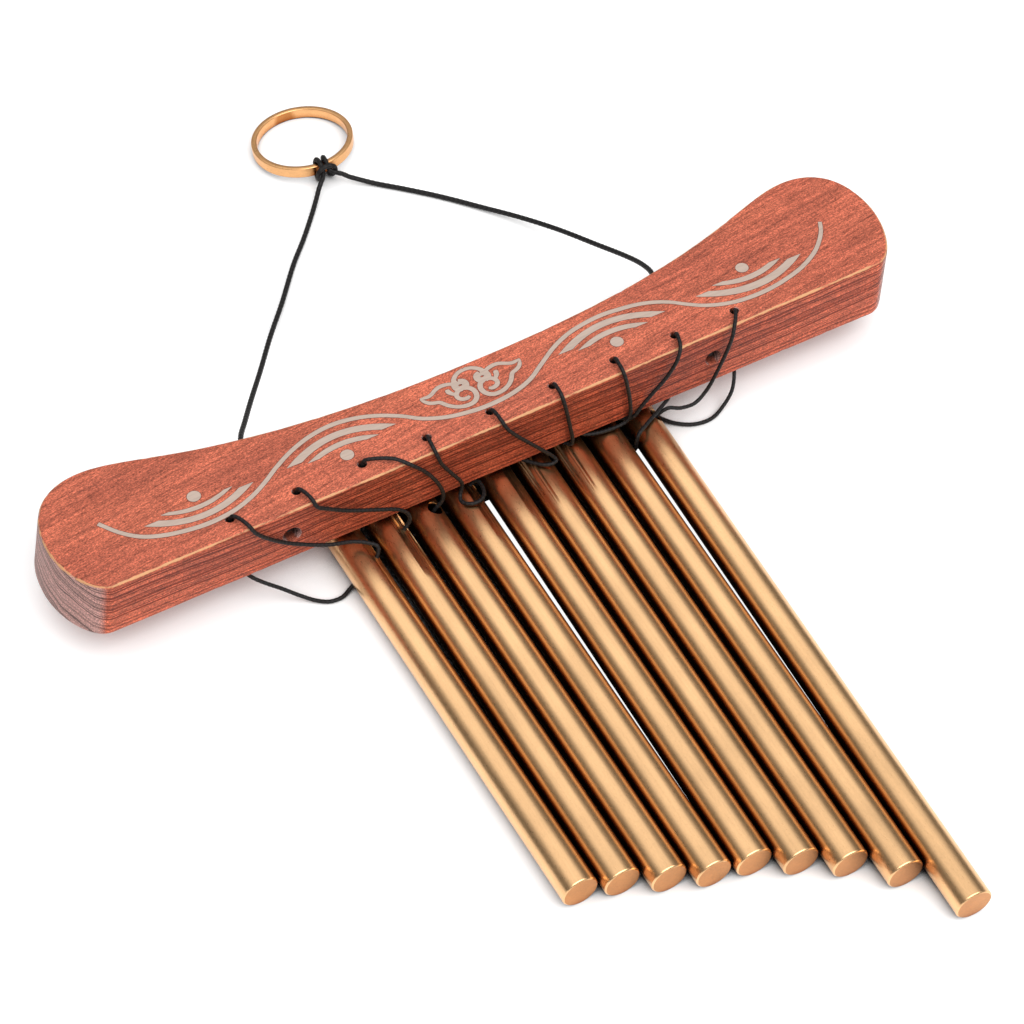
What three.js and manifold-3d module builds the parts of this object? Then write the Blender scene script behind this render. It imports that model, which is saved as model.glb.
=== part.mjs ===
// Hand chime: a waisted wooden bar, nine solid metal rods on short cord slings,
// and a cord hanger with a flat metal ring, lying on a table with the rods tucked under the bar.
// Millimetres, +Z up. X runs along the bar, +Y points to the ring, the table is z = 0.

import * as THREE from "three";
import { mergeVertices } from "three/addons/utils/BufferGeometryUtils.js";
import Module from "manifold-3d";

const wasm = await Module();
wasm.setup();

// Driving dimensions of the bar
const barLength = 260;
const barThickness = 18.6;
const waistWidth = 25.4;
const shoulderWidth = 43;
const shoulderX = 113;
const endWidestY = 22;
const cornerX = 118.5;
const arrisRadius = 0.9;

// Driving dimensions of the rods
const rodDiameter = 10;
const rodCount = 9;
const shortestRod = 133;
const rodLengthStep = 7.2;
const rodPitch = 11.38;
const rodRowShift = -3.3;
const rodRowY = -5;
const rodFanDegrees = 0.47;
const rodRowTurnDegrees = -0.81;
const rodAside = [-0.33, -0.06, -0.14, -0.12, 0.4, 0.22, 0.14, 0.06, 0.58];
const rodTurnAsideDegrees = [0.08, -0.08, 0.04, 0.03, -0.18, -0.09, 0.03, 0.17, 0.07];
const rodChamfer = 0.4;
const crossHoleDiameter = 4.2;
const crossHoleFromTop = 16;
const crossHoleY = [-8.5, -3.9, -1.4, 1.7, 6.8, 8.6, 9.4, 7.6, -0.5];
const rodRollDegrees = [50, 31, 27, 38, 38, -35, -35, -38, 48];
const countersink = 0.4;

// Driving dimensions of the cords and their holes in the bar
const slingDiameter = 1.1;
const slingHoleDiameter = 2.4;
const slingHolePitch = 19.4;
const slingHoleShift = -2.3;
const slingHoleFromEdge = 5.8;
const slingHoleFlareDiameter = 4.4;
const slingHoleFlareDepth = 1.2;
const hangerDiameter = 1.5;
const hangerHoleDiameter = 2.4;
const hangerHoleX = 65.5;
const counterboreDiameter = 5;
const counterboreDepth = 8;

// Driving dimensions of the ring
const ringDiameter = 32.6;
const ringBandHeight = 3.5;
const ringWall = 1.8;
const ringEdgeRadius = 0.3;
const ringX = 9.9;
const ringReach = 177.5;

// Clearances
const knotGap = 0.25;
const slingSpace = slingDiameter + 0.7;

// Facets
const rodSides = 24;
const holeSides = 12;
const ringSides = 48;
const cordSides = 8;

// Heights and places worked out from the sizes
const rodRadius = rodDiameter / 2;
const barBottom = rodDiameter + slingSpace;
const barTop = barBottom + barThickness;
const barMiddle = barBottom + barThickness / 2;
const halfLength = barLength / 2;
const middleRod = (rodCount - 1) / 2;
const radians = THREE.MathUtils.degToRad;

// Finishes
const wood = new THREE.MeshStandardMaterial({ color: 0x8f3d2c, roughness: 0.55, metalness: 0 });
const gold = new THREE.MeshStandardMaterial({ color: 0xc98a4b, roughness: 0.28, metalness: 1 });
const ringGold = new THREE.MeshStandardMaterial({ color: 0xd0945a, roughness: 0.3, metalness: 1 });
const waxedCord = new THREE.MeshStandardMaterial({ color: 0x1b1b1d, roughness: 0.75, metalness: 0 });

// A closed geometry as a solid that can be cut
function solid(geometry) {
  const bare = geometry.index ? geometry.toNonIndexed() : geometry.clone();
  bare.deleteAttribute("normal");
  bare.deleteAttribute("uv");
  const merged = mergeVertices(bare, 1e-4);
  return new wasm.Manifold(
    new wasm.Mesh({
      numProp: 3,
      vertProperties: new Float32Array(merged.attributes.position.array),
      triVerts: new Uint32Array(merged.index.array),
    })
  );
}

// A solid as a geometry again
function geometryOf(body) {
  const mesh = body.getMesh();
  const geometry = new THREE.BufferGeometry();
  geometry.setAttribute("position", new THREE.BufferAttribute(mesh.vertProperties, 3));
  geometry.setIndex(new THREE.BufferAttribute(mesh.triVerts, 1));
  geometry.computeVertexNormals();
  return geometry;
}

function named(name, geometry, material) {
  const mesh = new THREE.Mesh(geometry, material);
  mesh.name = name;
  return mesh;
}

// A drill along a line from one point to another
function drill(from, to, startDiameter, endDiameter = startDiameter) {
  const start = new THREE.Vector3(...from);
  const end = new THREE.Vector3(...to);
  const along = end.clone().sub(start);
  const tool = new THREE.CylinderGeometry(endDiameter / 2, startDiameter / 2, along.length(), holeSides);
  const turn = new THREE.Quaternion().setFromUnitVectors(
    new THREE.Vector3(0, 1, 0),
    along.clone().normalize()
  );
  tool.applyQuaternion(turn);
  tool.translate(...start.add(end).multiplyScalar(0.5).toArray());
  return solid(tool);
}

// A round cord along a smooth line through its points
function cordAlong(points, diameter, stepLength, closed = false) {
  const line = new THREE.CatmullRomCurve3(points.map((p) => new THREE.Vector3(...p)), closed, "centripetal");
  line.arcLengthDivisions = 400;
  const section = new THREE.Shape();
  for (let i = 0; i < cordSides; i += 1) {
    const angle = (2 * Math.PI * i) / cordSides;
    const corner = [(diameter / 2) * Math.cos(angle), (diameter / 2) * Math.sin(angle)];
    if (i === 0) section.moveTo(...corner);
    else section.lineTo(...corner);
  }
  section.closePath();
  return new THREE.ExtrudeGeometry(section, {
    steps: Math.max(8, Math.round(line.getLength() / stepLength)),
    extrudePath: line,
  });
}

// Bar

// One half of the long edge that narrows to the waist, from the shoulder to the middle
const waistEdge = new THREE.CubicBezierCurve(
  new THREE.Vector2(shoulderX, shoulderWidth),
  new THREE.Vector2(shoulderX - 17, shoulderWidth),
  new THREE.Vector2(shoulderX - 33, waistWidth),
  new THREE.Vector2(0, waistWidth)
);

// Width of the bar at a place along it, between the shoulders
function barWidthAt(x) {
  let low = 0;
  let high = 1;
  for (let i = 0; i < 40; i += 1) {
    const middle = (low + high) / 2;
    if (waistEdge.getPoint(middle).x > Math.abs(x)) low = middle;
    else high = middle;
  }
  return waistEdge.getPoint(low).y;
}

function barOutline() {
  const shape = new THREE.Shape();
  shape.moveTo(-cornerX, 0);
  shape.lineTo(cornerX, 0);
  shape.bezierCurveTo(cornerX + 5.5, 0, halfLength, endWidestY / 2, halfLength, endWidestY);
  shape.bezierCurveTo(halfLength, endWidestY + 13, shoulderX + 11, shoulderWidth, shoulderX, shoulderWidth);
  shape.bezierCurveTo(shoulderX - 17, shoulderWidth, shoulderX - 33, waistWidth, 0, waistWidth);
  shape.bezierCurveTo(33 - shoulderX, waistWidth, 17 - shoulderX, shoulderWidth, -shoulderX, shoulderWidth);
  shape.bezierCurveTo(-shoulderX - 11, shoulderWidth, -halfLength, endWidestY + 13, -halfLength, endWidestY);
  shape.bezierCurveTo(-halfLength, endWidestY / 2, -cornerX - 5.5, 0, -cornerX, 0);
  return shape;
}

function slingHoleX(i) {
  return slingHoleShift + (i - middleRod) * slingHolePitch;
}

function makeBar() {
  const blank = new THREE.ExtrudeGeometry(barOutline(), {
    depth: barThickness - 2 * arrisRadius,
    curveSegments: 14,
    bevelEnabled: true,
    bevelThickness: arrisRadius,
    bevelSize: arrisRadius,
    bevelOffset: -arrisRadius,
    bevelSegments: 2,
  });
  blank.translate(0, 0, barBottom + arrisRadius);
  let bar = solid(blank);
  for (let i = 0; i < rodCount; i += 1) {
    const x = slingHoleX(i);
    const y = slingHoleFromEdge;
    bar = bar.subtract(drill([x, y, barBottom - 1], [x, y, barTop + 1], slingHoleDiameter));
    const flare = drill(
      [x, y, barBottom - 0.01],
      [x, y, barBottom + slingHoleFlareDepth],
      slingHoleFlareDiameter,
      slingHoleDiameter
    );
    bar = bar.subtract(flare);
  }
  for (const side of [-1, 1]) {
    const x = side * hangerHoleX;
    bar = bar.subtract(drill([x, -1, barMiddle], [x, counterboreDepth, barMiddle], counterboreDiameter));
    bar = bar.subtract(drill([x, 0, barMiddle], [x, shoulderWidth, barMiddle], hangerHoleDiameter));
  }
  return named("wood_bar", geometryOf(bar), wood);
}

// Rods

function rodTurn(i) {
  return radians(rodRowTurnDegrees - rodFanDegrees * (i - middleRod) + rodTurnAsideDegrees[i]);
}

// Where the axis of a rod crosses a line at a given distance in front of the bar's lower side
function rodX(i, y) {
  return rodRowShift + rodPitch * (i - middleRod) + rodAside[i] - (y - rodRowY) * Math.tan(rodTurn(i));
}

// Middle of the gap between a rod and the next one
function gapX(i, y) {
  return (rodX(i, y) + rodX(i + 1, y)) / 2;
}

// Middle of a rod's cross hole, the way that the rod points, and the way that the hole's upper mouth faces
function rodPlace(i) {
  const turn = rodTurn(i);
  const roll = radians(rodRollDegrees[i]);
  const y = crossHoleY[i];
  const along = new THREE.Vector3(Math.sin(turn), -Math.cos(turn), 0);
  const mouth = new THREE.Vector3(Math.cos(turn) * Math.sin(roll), Math.sin(turn) * Math.sin(roll), Math.cos(roll));
  return { hole: new THREE.Vector3(rodX(i, y), y, rodRadius), along, turn, mouth };
}

function rodLength(i) {
  return shortestRod + rodLengthStep * i;
}

function makeRod(i) {
  const length = rodLength(i);
  const place = rodPlace(i);
  const profile = [
    new THREE.Vector2(0, 0),
    new THREE.Vector2(rodRadius - rodChamfer, 0),
    new THREE.Vector2(rodRadius, rodChamfer),
    new THREE.Vector2(rodRadius, length - rodChamfer),
    new THREE.Vector2(rodRadius - rodChamfer, length),
    new THREE.Vector2(0, length),
  ];
  const blank = new THREE.LatheGeometry(profile, rodSides);
  blank.translate(0, crossHoleFromTop - length, 0);
  blank.rotateZ(place.turn);
  blank.translate(...place.hole.toArray());
  let rod = solid(blank);
  const reach = (distance) => place.hole.clone().addScaledVector(place.mouth, distance).toArray();
  rod = rod.subtract(drill(reach(-rodDiameter), reach(rodDiameter), crossHoleDiameter));
  for (const side of [-1, 1]) {
    const wide = crossHoleDiameter + 4 * countersink;
    rod = rod.subtract(
      drill(reach(side * (rodRadius + countersink)), reach(side * (rodRadius - countersink)), wide, wide - 4 * countersink)
    );
  }
  return named(`rod_${i + 1}`, geometryOf(rod), gold);
}

// Slings: each cord runs from its hole in the bar's top face, over the lower edge, through its rod's
// cross hole and back up to the same hole in the bar's underside.

// Free stretch of each sling from the hole in the bar's top face to the upper mouth of the cross hole
const frontRuns = [
  [[-79.2, 4.9, 31.9], [-77.9, 2.6, 32.2], [-76.8, 0.1, 31.6], [-75.6, -1.3, 29.2], [-68.9, -1.1, 21.3],
    [-62.7, -2, 17.5], [-56.6, -3, 14.8], [-50.1, -3.6, 12.8], [-46.4, -5.2, 11.9], [-44.2, -7, 10.8]],
  [[-60.1, 4.9, 31.9], [-59.2, 2.7, 32.2], [-58.4, 0.1, 31.6], [-57.7, -1.3, 29.6], [-54.6, -1.3, 26.9],
    [-49.3, -1.5, 23.3], [-42.3, -2.2, 20.2], [-35.4, -2.8, 16.9], [-32.9, -3.2, 14], [-32.8, -3.6, 11.6]],
  [[-40.3, 5.5, 31.7], [-38, 4.4, 32.2], [-33.2, 1.8, 32], [-29.6, -1, 30.2], [-25.5, -1.4, 25],
    [-22.6, -1.8, 19.2], [-21.5, -1.9, 14.2], [-22.1, -1.7, 11.4]],
  [[-21.9, 4.8, 31.8], [-22.2, 2.6, 32.3], [-22.3, 0.1, 31.7], [-21.7, -1.3, 28.9], [-21.1, -1.3, 26.4],
    [-18.1, -1.7, 20.6], [-15.9, -1.8, 16.4], [-15.6, -1.6, 13.7], [-16.6, -2.2, 11.5], [-17.1, -3.9, 10.9],
    [-15.7, -5.7, 10.9], [-13.1, -6.3, 10.9], [-10.9, -5.2, 10.9], [-9.9, -3.2, 10.9], [-9.6, -1.1, 10.9],
    [-9.8, 0.6, 10.7], [-10.7, 1.5, 9.9]],
  [[-2.2, 4.8, 31.8], [-2, 2.6, 32.3], [-1.7, 0.1, 31.7], [-0.8, -1.3, 29.3], [1.6, -1.5, 25.5],
    [4.6, -1.9, 21.7], [9.2, -2.4, 15.9], [12, -3, 12.4], [12.7, -3.7, 11.1], [11.4, -4.1, 10.9],
    [9.4, -3.6, 10.9], [7.2, -1.8, 10.9], [5.2, 0.6, 10.9], [3.4, 3.4, 10.9], [1.8, 5.8, 10.6]],
  [[17.1, 4.8, 31.8], [17, 2.6, 32.3], [16.9, 0.1, 31.7], [17.1, -1.3, 28.9], [18.5, -1.2, 19.8],
    [19.2, -1.3, 13.6], [18.8, -1, 11.8], [17.1, 1.8, 10.9], [12.3, 5, 10.9], [8.9, 7.4, 11],
    [6.7, 8.4, 10.7]],
  [[36.4, 4.8, 31.8], [36.1, 2.6, 32.3], [36, 0.1, 31.7], [36.3, -1.3, 28.9], [36.8, -1.2, 26],
    [37.6, -1.3, 19.6], [37.6, -1.3, 14], [36.5, -1.2, 11.8], [34.6, -1, 11], [31.6, -0.9, 10.9],
    [27.8, -0.4, 10.9], [24.3, 1, 10.9], [21, 4.4, 10.9], [18.4, 7.6, 10.9]],
  [[55.8, 4.8, 31.8], [55.2, 2.4, 32.3], [54.4, 0.1, 31.6], [52.8, -1.4, 29.1], [49.3, -1.4, 23.4],
    [45, -1.4, 19.3], [41.1, -1.4, 15.5], [38.8, -1.3, 12.7], [37, 0.6, 10.9], [33, 4.2, 10.9],
    [30.2, 6.6, 10.9], [28.5, 7.4, 10.7]],
  [[74.8, 4.6, 31.8], [73.4, 2, 32.2], [71.7, -0.2, 31.3], [70.4, -1.5, 29], [69, -1.6, 24.8],
    [65.8, -1.7, 17.6], [62.3, -1.7, 11.2], [58.1, -2.4, 8.8], [53.5, -2.4, 9.3], [49.9, -1.4, 10.2]],
];

// Free stretch of each sling from the lower mouth of the cross hole to the hole in the bar's underside
const backRuns = [
  [[-54.9, -9.2, 0.85], [-57.4, -10.4, 0.75], [-60.9, -10.2, 0.75], [-64.1, -8.2, 0.9], [-67.5, -5.6, 2.2],
    [-71.6, -3, 5], [-75.9, -0.7, 8], [-78.3, 1.6, 9.4], [-79.6, 4.2, 10.6]],
  [[-41.9, -3.1, 0.8], [-43.1, -0.8, 0.8], [gapX(0, 4), 4, 1], [gapX(0, 7), 7, 2.4], [gapX(0, 8.6), 8.6, 5],
    [gapX(0, 8.6), 8.6, 8.4], [-45.6, 7.9, 10.7], [-49.8, 7.2, 10.9], [-53.8, 6.7, 10.9], [-57.1, 6.2, 10.9],
    [-59, 5.9, 10.9]],
  [[-30.6, -0.6, 0.8], [-31.8, 1.8, 0.8], [gapX(1, 5), 5, 1.2], [gapX(1, 8), 8, 3], [gapX(1, 9.2), 9.2, 5.8],
    [gapX(1, 9), 9, 8.6], [-33.7, 8.3, 10.7], [-36.2, 7.4, 10.9], [-38.5, 6.5, 10.9], [-39.9, 6.1, 10.9]],
  [[-19.5, 2.4, 0.8], [-20.4, 4.4, 0.9], [gapX(2, 7), 7, 1.8], [gapX(2, 9), 9, 4.2], [gapX(2, 9.4), 9.4, 7],
    [gapX(2, 8.8), 8.8, 9.6], [-21.4, 7.2, 10.9]],
  [[-7.5, 7.6, 0.8], [-8.4, 9.6, 0.9], [gapX(3, 12.2), 12.2, 2], [gapX(3, 13.8), 13.8, 4.6],
    [gapX(3, 13.6), 13.6, 7.8], [-8.5, 12, 10.2], [-6.7, 9.8, 10.9], [-4.9, 7.8, 10.9], [-3.6, 6.6, 10.9]],
  [[13.1, 9.4, 0.8], [14.2, 11.2, 0.9], [gapX(5, 13.6), 13.6, 2.2], [gapX(5, 15), 15, 5],
    [gapX(5, 14.6), 14.6, 8.2], [14.6, 12.6, 10.6], [14.7, 9.4, 10.9], [15.4, 7, 10.9], [16.2, 6.2, 10.9]],
  [[24.4, 10.2, 0.8], [25.6, 12, 0.9], [gapX(6, 14.6), 14.6, 2.2], [gapX(6, 16), 16, 5],
    [gapX(6, 15.6), 15.6, 8.4], [27.6, 13.6, 10.7], [31.4, 10.4, 10.9], [34.2, 7.4, 10.9], [35.4, 6.5, 10.9]],
  [[35.1, 6.8, 0.8], [35.5, 4, 0.8], [35.6, 0, 0.8], [36.1, -3.6, 1.4], [gapX(7, -5.8), -5.8, 4.4],
    [gapX(7, -6.4), -6.4, 7.6], [37.8, -6, 10.2], [40.9, -4.5, 10.9], [46.7, -1.4, 10.9], [51.9, 1.6, 10.9],
    [54.6, 4.2, 10.9]],
  [[38.4, 1.4, 0.75], [38.1, 4.5, 0.75], [38.3, 9, 0.75], [39.1, 14, 0.75], [41.5, 17.6, 0.75],
    [45.5, 17.5, 0.75], [48.4, 13.6, 0.75], [49.1, 8, 0.75], [50.7, 3.5, 0.75], [53.6, -0.4, 0.75],
    [58.1, -3.2, 0.75], [63.4, -3.6, 0.75], [68.3, -1.8, 1.8], [71.8, -0.4, 5], [74, 2.2, 8.6],
    [75, 4.6, 10.6]],
];

function slingRoute(i) {
  const place = rodPlace(i);
  const inHole = (distance) => place.hole.clone().addScaledVector(place.mouth, distance).toArray();
  const x = slingHoleX(i);
  const y = slingHoleFromEdge;
  return [
    [x, y, barTop - 3.4],
    [x, y, barTop - 0.4],
    ...frontRuns[i],
    inHole(rodRadius - 0.6),
    inHole(0),
    inHole(0.6 - rodRadius),
    ...backRuns[i],
    [x, y, barBottom + 0.8],
    [x, y, barBottom + 3],
  ];
}

function makeSling(i) {
  const geometry = cordAlong(slingRoute(i), slingDiameter, 2.4 * slingDiameter);
  return named(`rod_cord_${i + 1}`, geometry, waxedCord);
}

// Ring, tipped up on the cord that passes under it at the knot

const ringRadius = ringDiameter / 2;
const knotLift = hangerDiameter + 2 * knotGap + 0.2;
const ringTilt = Math.asin(knotLift / ringDiameter);

function onRing(mesh) {
  const tilted = new THREE.Group();
  tilted.position.set(ringX, ringReach, 0);
  tilted.rotation.x = -ringTilt;
  tilted.add(mesh);
  return tilted;
}

function makeRing() {
  const inner = ringRadius - ringWall;
  const e = ringEdgeRadius;
  const h = ringBandHeight;
  const profile = [
    [inner + e, 0], [ringRadius - e, 0], [ringRadius, e], [ringRadius, h - e],
    [ringRadius - e, h], [inner + e, h], [inner, h - e], [inner, e], [inner + e, 0],
  ].map(([r, z]) => new THREE.Vector2(r, z));
  const geometry = new THREE.LatheGeometry(profile, ringSides);
  geometry.rotateX(Math.PI / 2);
  const ring = geometryOf(solid(geometry));
  ring.translate(0, -ringRadius, 0);
  return onRing(named("hanging_ring", ring, ringGold));
}

// Lark's head knot: half of the cord from the tail to the middle of the bight, which the other half mirrors.
// u runs along the band, v out of the ring's middle is negative, and w is height above the band's middle.
function makeRingKnot() {
  const v = ringWall / 2 + knotGap + 0.1 + hangerDiameter / 2;
  const w = ringBandHeight / 2 + knotGap + 0.1 + hangerDiameter / 2;
  const wraps = [
    [1.0, -v - 0.2, w - 0.9], [1.0, -v / 2, w], [1.1, v / 2, w], [1.3, v, w - 1.1], [1.6, v, 1.1 - w],
    [1.9, v / 2, -w], [2.3, -v / 2, -w], [2.75, -v - 0.5, 1.2 - w], [3.0, -v - 1.3, 0.2], [2.6, -v - 1.7, 1.7],
    [1.5, -v - 1.75, 2.6],
  ];
  const leftTail = [[-4.3, -7.1, -0.7], [-3.2, -5.8, -0.5], [-1.9, -4.5, -0.1], [-1.1, -3.2, 0.7]];
  const rightTail = [[1.2, -3.2, 0.7], [2.5, -4.3, -0.1], [4.3, -5.6, -0.5], [5.7, -6.9, -0.7]];
  const mirrored = ([a, b, c]) => [-a, b, c];
  const route = [
    ...leftTail,
    ...wraps.map(mirrored),
    [0, -v - 1.75, 2.85],
    ...[...wraps].reverse(),
    ...rightTail,
  ];
  const geometry = cordAlong(route, hangerDiameter, 1.1);
  geometry.translate(0, ringWall / 2 - ringDiameter, ringBandHeight / 2);
  return onRing(named("ring_knot", geometry, waxedCord));
}

// Hanger: two legs from the bar's upper side to the ring's knot, and their stop knots in the counterbores

const hangerLegs = {
  left: [[-65.3, 31.5, 21], [-64.6, 35, 20.2], [-62.6, 41.5, 18], [-58, 50, 14.2], [-52, 60.4, 10],
    [-44.1, 72.9, 6], [-34.5, 87.5, 3], [-25.4, 99.8, 1.4], [-15.3, 113.6, 0.9], [-7.9, 122.3, 0.9],
    [-0.9, 131.2, 0.95], [2.8, 135.9, 1.6], [5.2, 138.9, 2.5]],
  right: [[65.6, 31.5, 21], [66.6, 35, 20.4], [68.4, 40.5, 19.2], [68.9, 47, 16.8], [68.2, 54.2, 14],
    [65.1, 68.2, 9], [60.1, 83.4, 5], [53.7, 96.3, 2.5], [46.1, 107.5, 1.2], [37.9, 117.8, 0.9],
    [29.2, 127.1, 0.9], [22.4, 133.8, 1], [18.8, 136.9, 1.7], [15.9, 139.2, 2.5]],
};
const stopKnotY = 4.6;
const stopKnotTurns = 2.25;
const stopKnotPitch = 1.62;

function makeHangerLeg(side, name) {
  const x = side * hangerHoleX;
  const exitY = barWidthAt(hangerHoleX);
  const route = [
    [x, stopKnotY - 2.6, barMiddle],
    [x, counterboreDepth, barMiddle],
    [x, exitY - 4, barMiddle],
    [x, exitY, barMiddle],
    ...hangerLegs[name],
  ];
  const geometry = cordAlong(route, hangerDiameter, 2.4 * hangerDiameter);
  return named(`hanger_cord_${name}`, geometry, waxedCord);
}

function makeStopKnot(side, name) {
  const turnRadius = hangerDiameter + knotGap - 0.05;
  const points = [];
  const steps = 12 * stopKnotTurns;
  for (let i = 0; i <= steps; i += 1) {
    const angle = (2 * Math.PI * i) / 12;
    const y = stopKnotY + (i / 12 - stopKnotTurns / 2) * stopKnotPitch;
    points.push([
      side * hangerHoleX + turnRadius * Math.cos(angle),
      y,
      barMiddle + turnRadius * Math.sin(angle),
    ]);
  }
  return named(`stop_knot_${name}`, cordAlong(points, hangerDiameter - 0.3, 1), waxedCord);
}

// Assembly, with the origin on the table under the middle of the whole piece

function lowerEndY(i) {
  const place = rodPlace(i);
  const reach = place.along.y * (rodLength(i) - crossHoleFromTop);
  return place.hole.y + reach - (rodRadius - rodChamfer) * Math.abs(Math.sin(place.turn));
}

const lowestY = lowerEndY(rodCount - 1);
const handChime = new THREE.Group();
handChime.position.y = -(ringReach + lowestY) / 2;
handChime.add(makeBar());
for (let i = 0; i < rodCount; i += 1) handChime.add(makeRod(i));
for (let i = 0; i < rodCount; i += 1) handChime.add(makeSling(i));
handChime.add(makeHangerLeg(-1, "left"), makeHangerLeg(1, "right"));
handChime.add(makeStopKnot(-1, "left"), makeStopKnot(1, "right"));
handChime.add(makeRing(), makeRingKnot());

export default handChime;
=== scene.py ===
"""Hand chime: a waisted wooden bar with nine metal rods on braided cord slings, hung from a ring.

Metres, +Z up. X runs along the bar, +Y points to the ring and the table is z = 0.
"""

import math

import bmesh
import bpy
import numpy as np
from bpy.props import FloatProperty, FloatVectorProperty, IntProperty, PointerProperty
from mathutils import Matrix, Vector, noise


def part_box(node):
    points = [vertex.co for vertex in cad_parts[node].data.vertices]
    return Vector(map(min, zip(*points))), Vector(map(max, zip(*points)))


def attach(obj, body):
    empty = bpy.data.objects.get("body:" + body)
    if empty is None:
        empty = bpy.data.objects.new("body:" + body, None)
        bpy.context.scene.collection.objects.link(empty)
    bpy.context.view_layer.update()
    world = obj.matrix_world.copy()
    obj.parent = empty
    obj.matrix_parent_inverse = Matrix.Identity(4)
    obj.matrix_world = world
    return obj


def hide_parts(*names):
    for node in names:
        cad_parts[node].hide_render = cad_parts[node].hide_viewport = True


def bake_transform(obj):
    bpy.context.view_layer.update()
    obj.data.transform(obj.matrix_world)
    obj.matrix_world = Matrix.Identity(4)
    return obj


bl_info = {
    "name": "Hand chime",
    "version": (1, 0, 0),
    "blender": (4, 5, 0),
    "location": "3D View > Sidebar > Hand chime",
    "description": "Makes a wooden hand chime with nine hanging rods, its cords and its stage",
    "category": "Object",
}

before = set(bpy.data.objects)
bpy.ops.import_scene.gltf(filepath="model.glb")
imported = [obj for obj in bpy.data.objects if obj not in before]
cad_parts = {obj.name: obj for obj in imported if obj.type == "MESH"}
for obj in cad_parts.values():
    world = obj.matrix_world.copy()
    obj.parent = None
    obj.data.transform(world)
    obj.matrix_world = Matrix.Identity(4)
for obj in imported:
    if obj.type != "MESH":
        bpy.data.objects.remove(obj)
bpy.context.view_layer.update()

# Places that the solids give: the bar's lower edge is the line y = 0 of all the routes below
bar_low, bar_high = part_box("wood_bar")
EDGE_Y = bar_low.y
BAR_BOTTOM, BAR_TOP = bar_low.z, bar_high.z
BAR_MIDDLE = (BAR_BOTTOM + BAR_TOP) / 2
MM = 0.001


# Sizes and colours that a user may change


def length(name, description, default):
    return FloatProperty(name=name, description=description, default=default, unit="LENGTH",
                         subtype="DISTANCE", min=0.0, precision=5)


def share(name, description, default):
    return FloatProperty(name=name, description=description, default=default, min=0.0, max=1.0,
                         subtype="FACTOR")


def colour(name, description, default):
    return FloatVectorProperty(name=name, description=description, default=default, size=3,
                               subtype="COLOR", min=0.0, max=1.0)


class BarSettings(bpy.types.PropertyGroup):
    """Sizes and colours of the wooden bar"""

    arris: length("Edge rounding", "Radius of the bar's softly broken edges", 0.0009)
    hole: length("Cord hole", "Diameter of each sling's hole", 0.0024)
    hole_edge: length("Hole from edge", "Distance of the cord holes from the lower edge", 0.0058)
    hanger_hole: length("Hanger hole", "Diameter of the two holes across the bar", 0.0024)
    counterbore: length("Counterbore", "Diameter of the pocket for each stop knot", 0.005)
    print_width: length("Print line", "Width of the printed wave", 0.0015)
    wood: colour("Wood", "Stained wood between the growth lines", (0.56, 0.145, 0.082))
    growth: colour("Growth lines", "Dark lines of the wood", (0.13, 0.016, 0.006))
    worn: colour("Worn wood", "Bare wood along the rubbed edges", (0.82, 0.42, 0.20))
    end_grain: colour("End grain", "Wood at the two ends", (0.60, 0.34, 0.30))
    print_colour: colour("Print", "Ink of the ornament", (0.52, 0.40, 0.33))


class RodSettings(bpy.types.PropertyGroup):
    """Sizes and colour of the nine rods"""

    diameter: length("Diameter", "Thickness of every rod", 0.010)
    shortest: length("Shortest rod", "Length of the first rod", 0.133)
    step: length("Length step", "How much longer each next rod is", 0.0072)
    chamfer: length("Chamfer", "Broken edge round each end", 0.0004)
    cross_hole: length("Cross hole", "Diameter of the hole for the sling", 0.0042)
    hole_from_top: length("Hole from top", "Distance of the cross hole from the top end", 0.016)
    countersink: length("Countersink", "Depth of the widened mouth of the hole", 0.0004)
    sides: IntProperty(name="Sides", description="Facets round each rod", default=96,
                       min=24, max=256)
    metal: colour("Metal", "Colour of the polished rods", (0.95, 0.58, 0.29))
    roughness: share("Roughness", "How much the metal blurs what it mirrors", 0.3)


class CordSettings(bpy.types.PropertyGroup):
    """Sizes and colour of the cords"""

    sling: length("Sling cord", "Diameter of the nine slings", 0.0011)
    hanger: length("Hanger cord", "Diameter of the hanger cord", 0.0015)
    bend_room: length("Bend room", "Length over which the hanger bends past the bar's edge", 0.021)
    relief: share("Braid relief", "Height of the braid as a share of the diameter", 0.035)
    strands: IntProperty(name="Strands", description="Strands that show round the cord", default=4,
                         min=2, max=12)
    dye: colour("Dye", "Colour of the waxed cord", (0.007, 0.006, 0.006))


class RingSettings(bpy.types.PropertyGroup):
    """Sizes and colour of the ring"""

    diameter: length("Diameter", "Outer diameter of the ring", 0.0326)
    height: length("Band height", "Height of the flat band", 0.0035)
    wall: length("Wall", "Thickness of the band", 0.0018)
    rounding: length("Edge rounding", "Radius of the band's edges", 0.0004)
    metal: colour("Metal", "Colour of the satin ring", (0.92, 0.50, 0.22))
    roughness: share("Roughness", "How much the metal blurs what it mirrors", 0.3)


class StageSettings(bpy.types.PropertyGroup):
    """Floor, lamps and camera"""

    lens: FloatProperty(name="Lens", description="Focal length of the camera on a 36 mm sensor",
                        default=87.03, unit="CAMERA", min=10.0)
    floor: colour("Floor", "Colour of the table top", (0.8, 0.8, 0.8))
    glow: share("Floor glow", "White that the floor adds for the camera and for mirrors", 0.32)
    shade_reach: length("Shade reach", "How far from a piece the floor begins to darken", 0.02)
    key: FloatProperty(name="Back softbox", description="Power of the large lamp behind the bar",
                       default=1.2, min=0.0, unit="POWER")
    fill: FloatProperty(name="Front softbox", description="Power of the lamp on the camera side",
                        default=22.0, min=0.0, unit="POWER")


# Places of the rods in their row. Turns and rolls are in degrees, and the ASIDE lists say how far
# each rod departs from an even fan.

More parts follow.
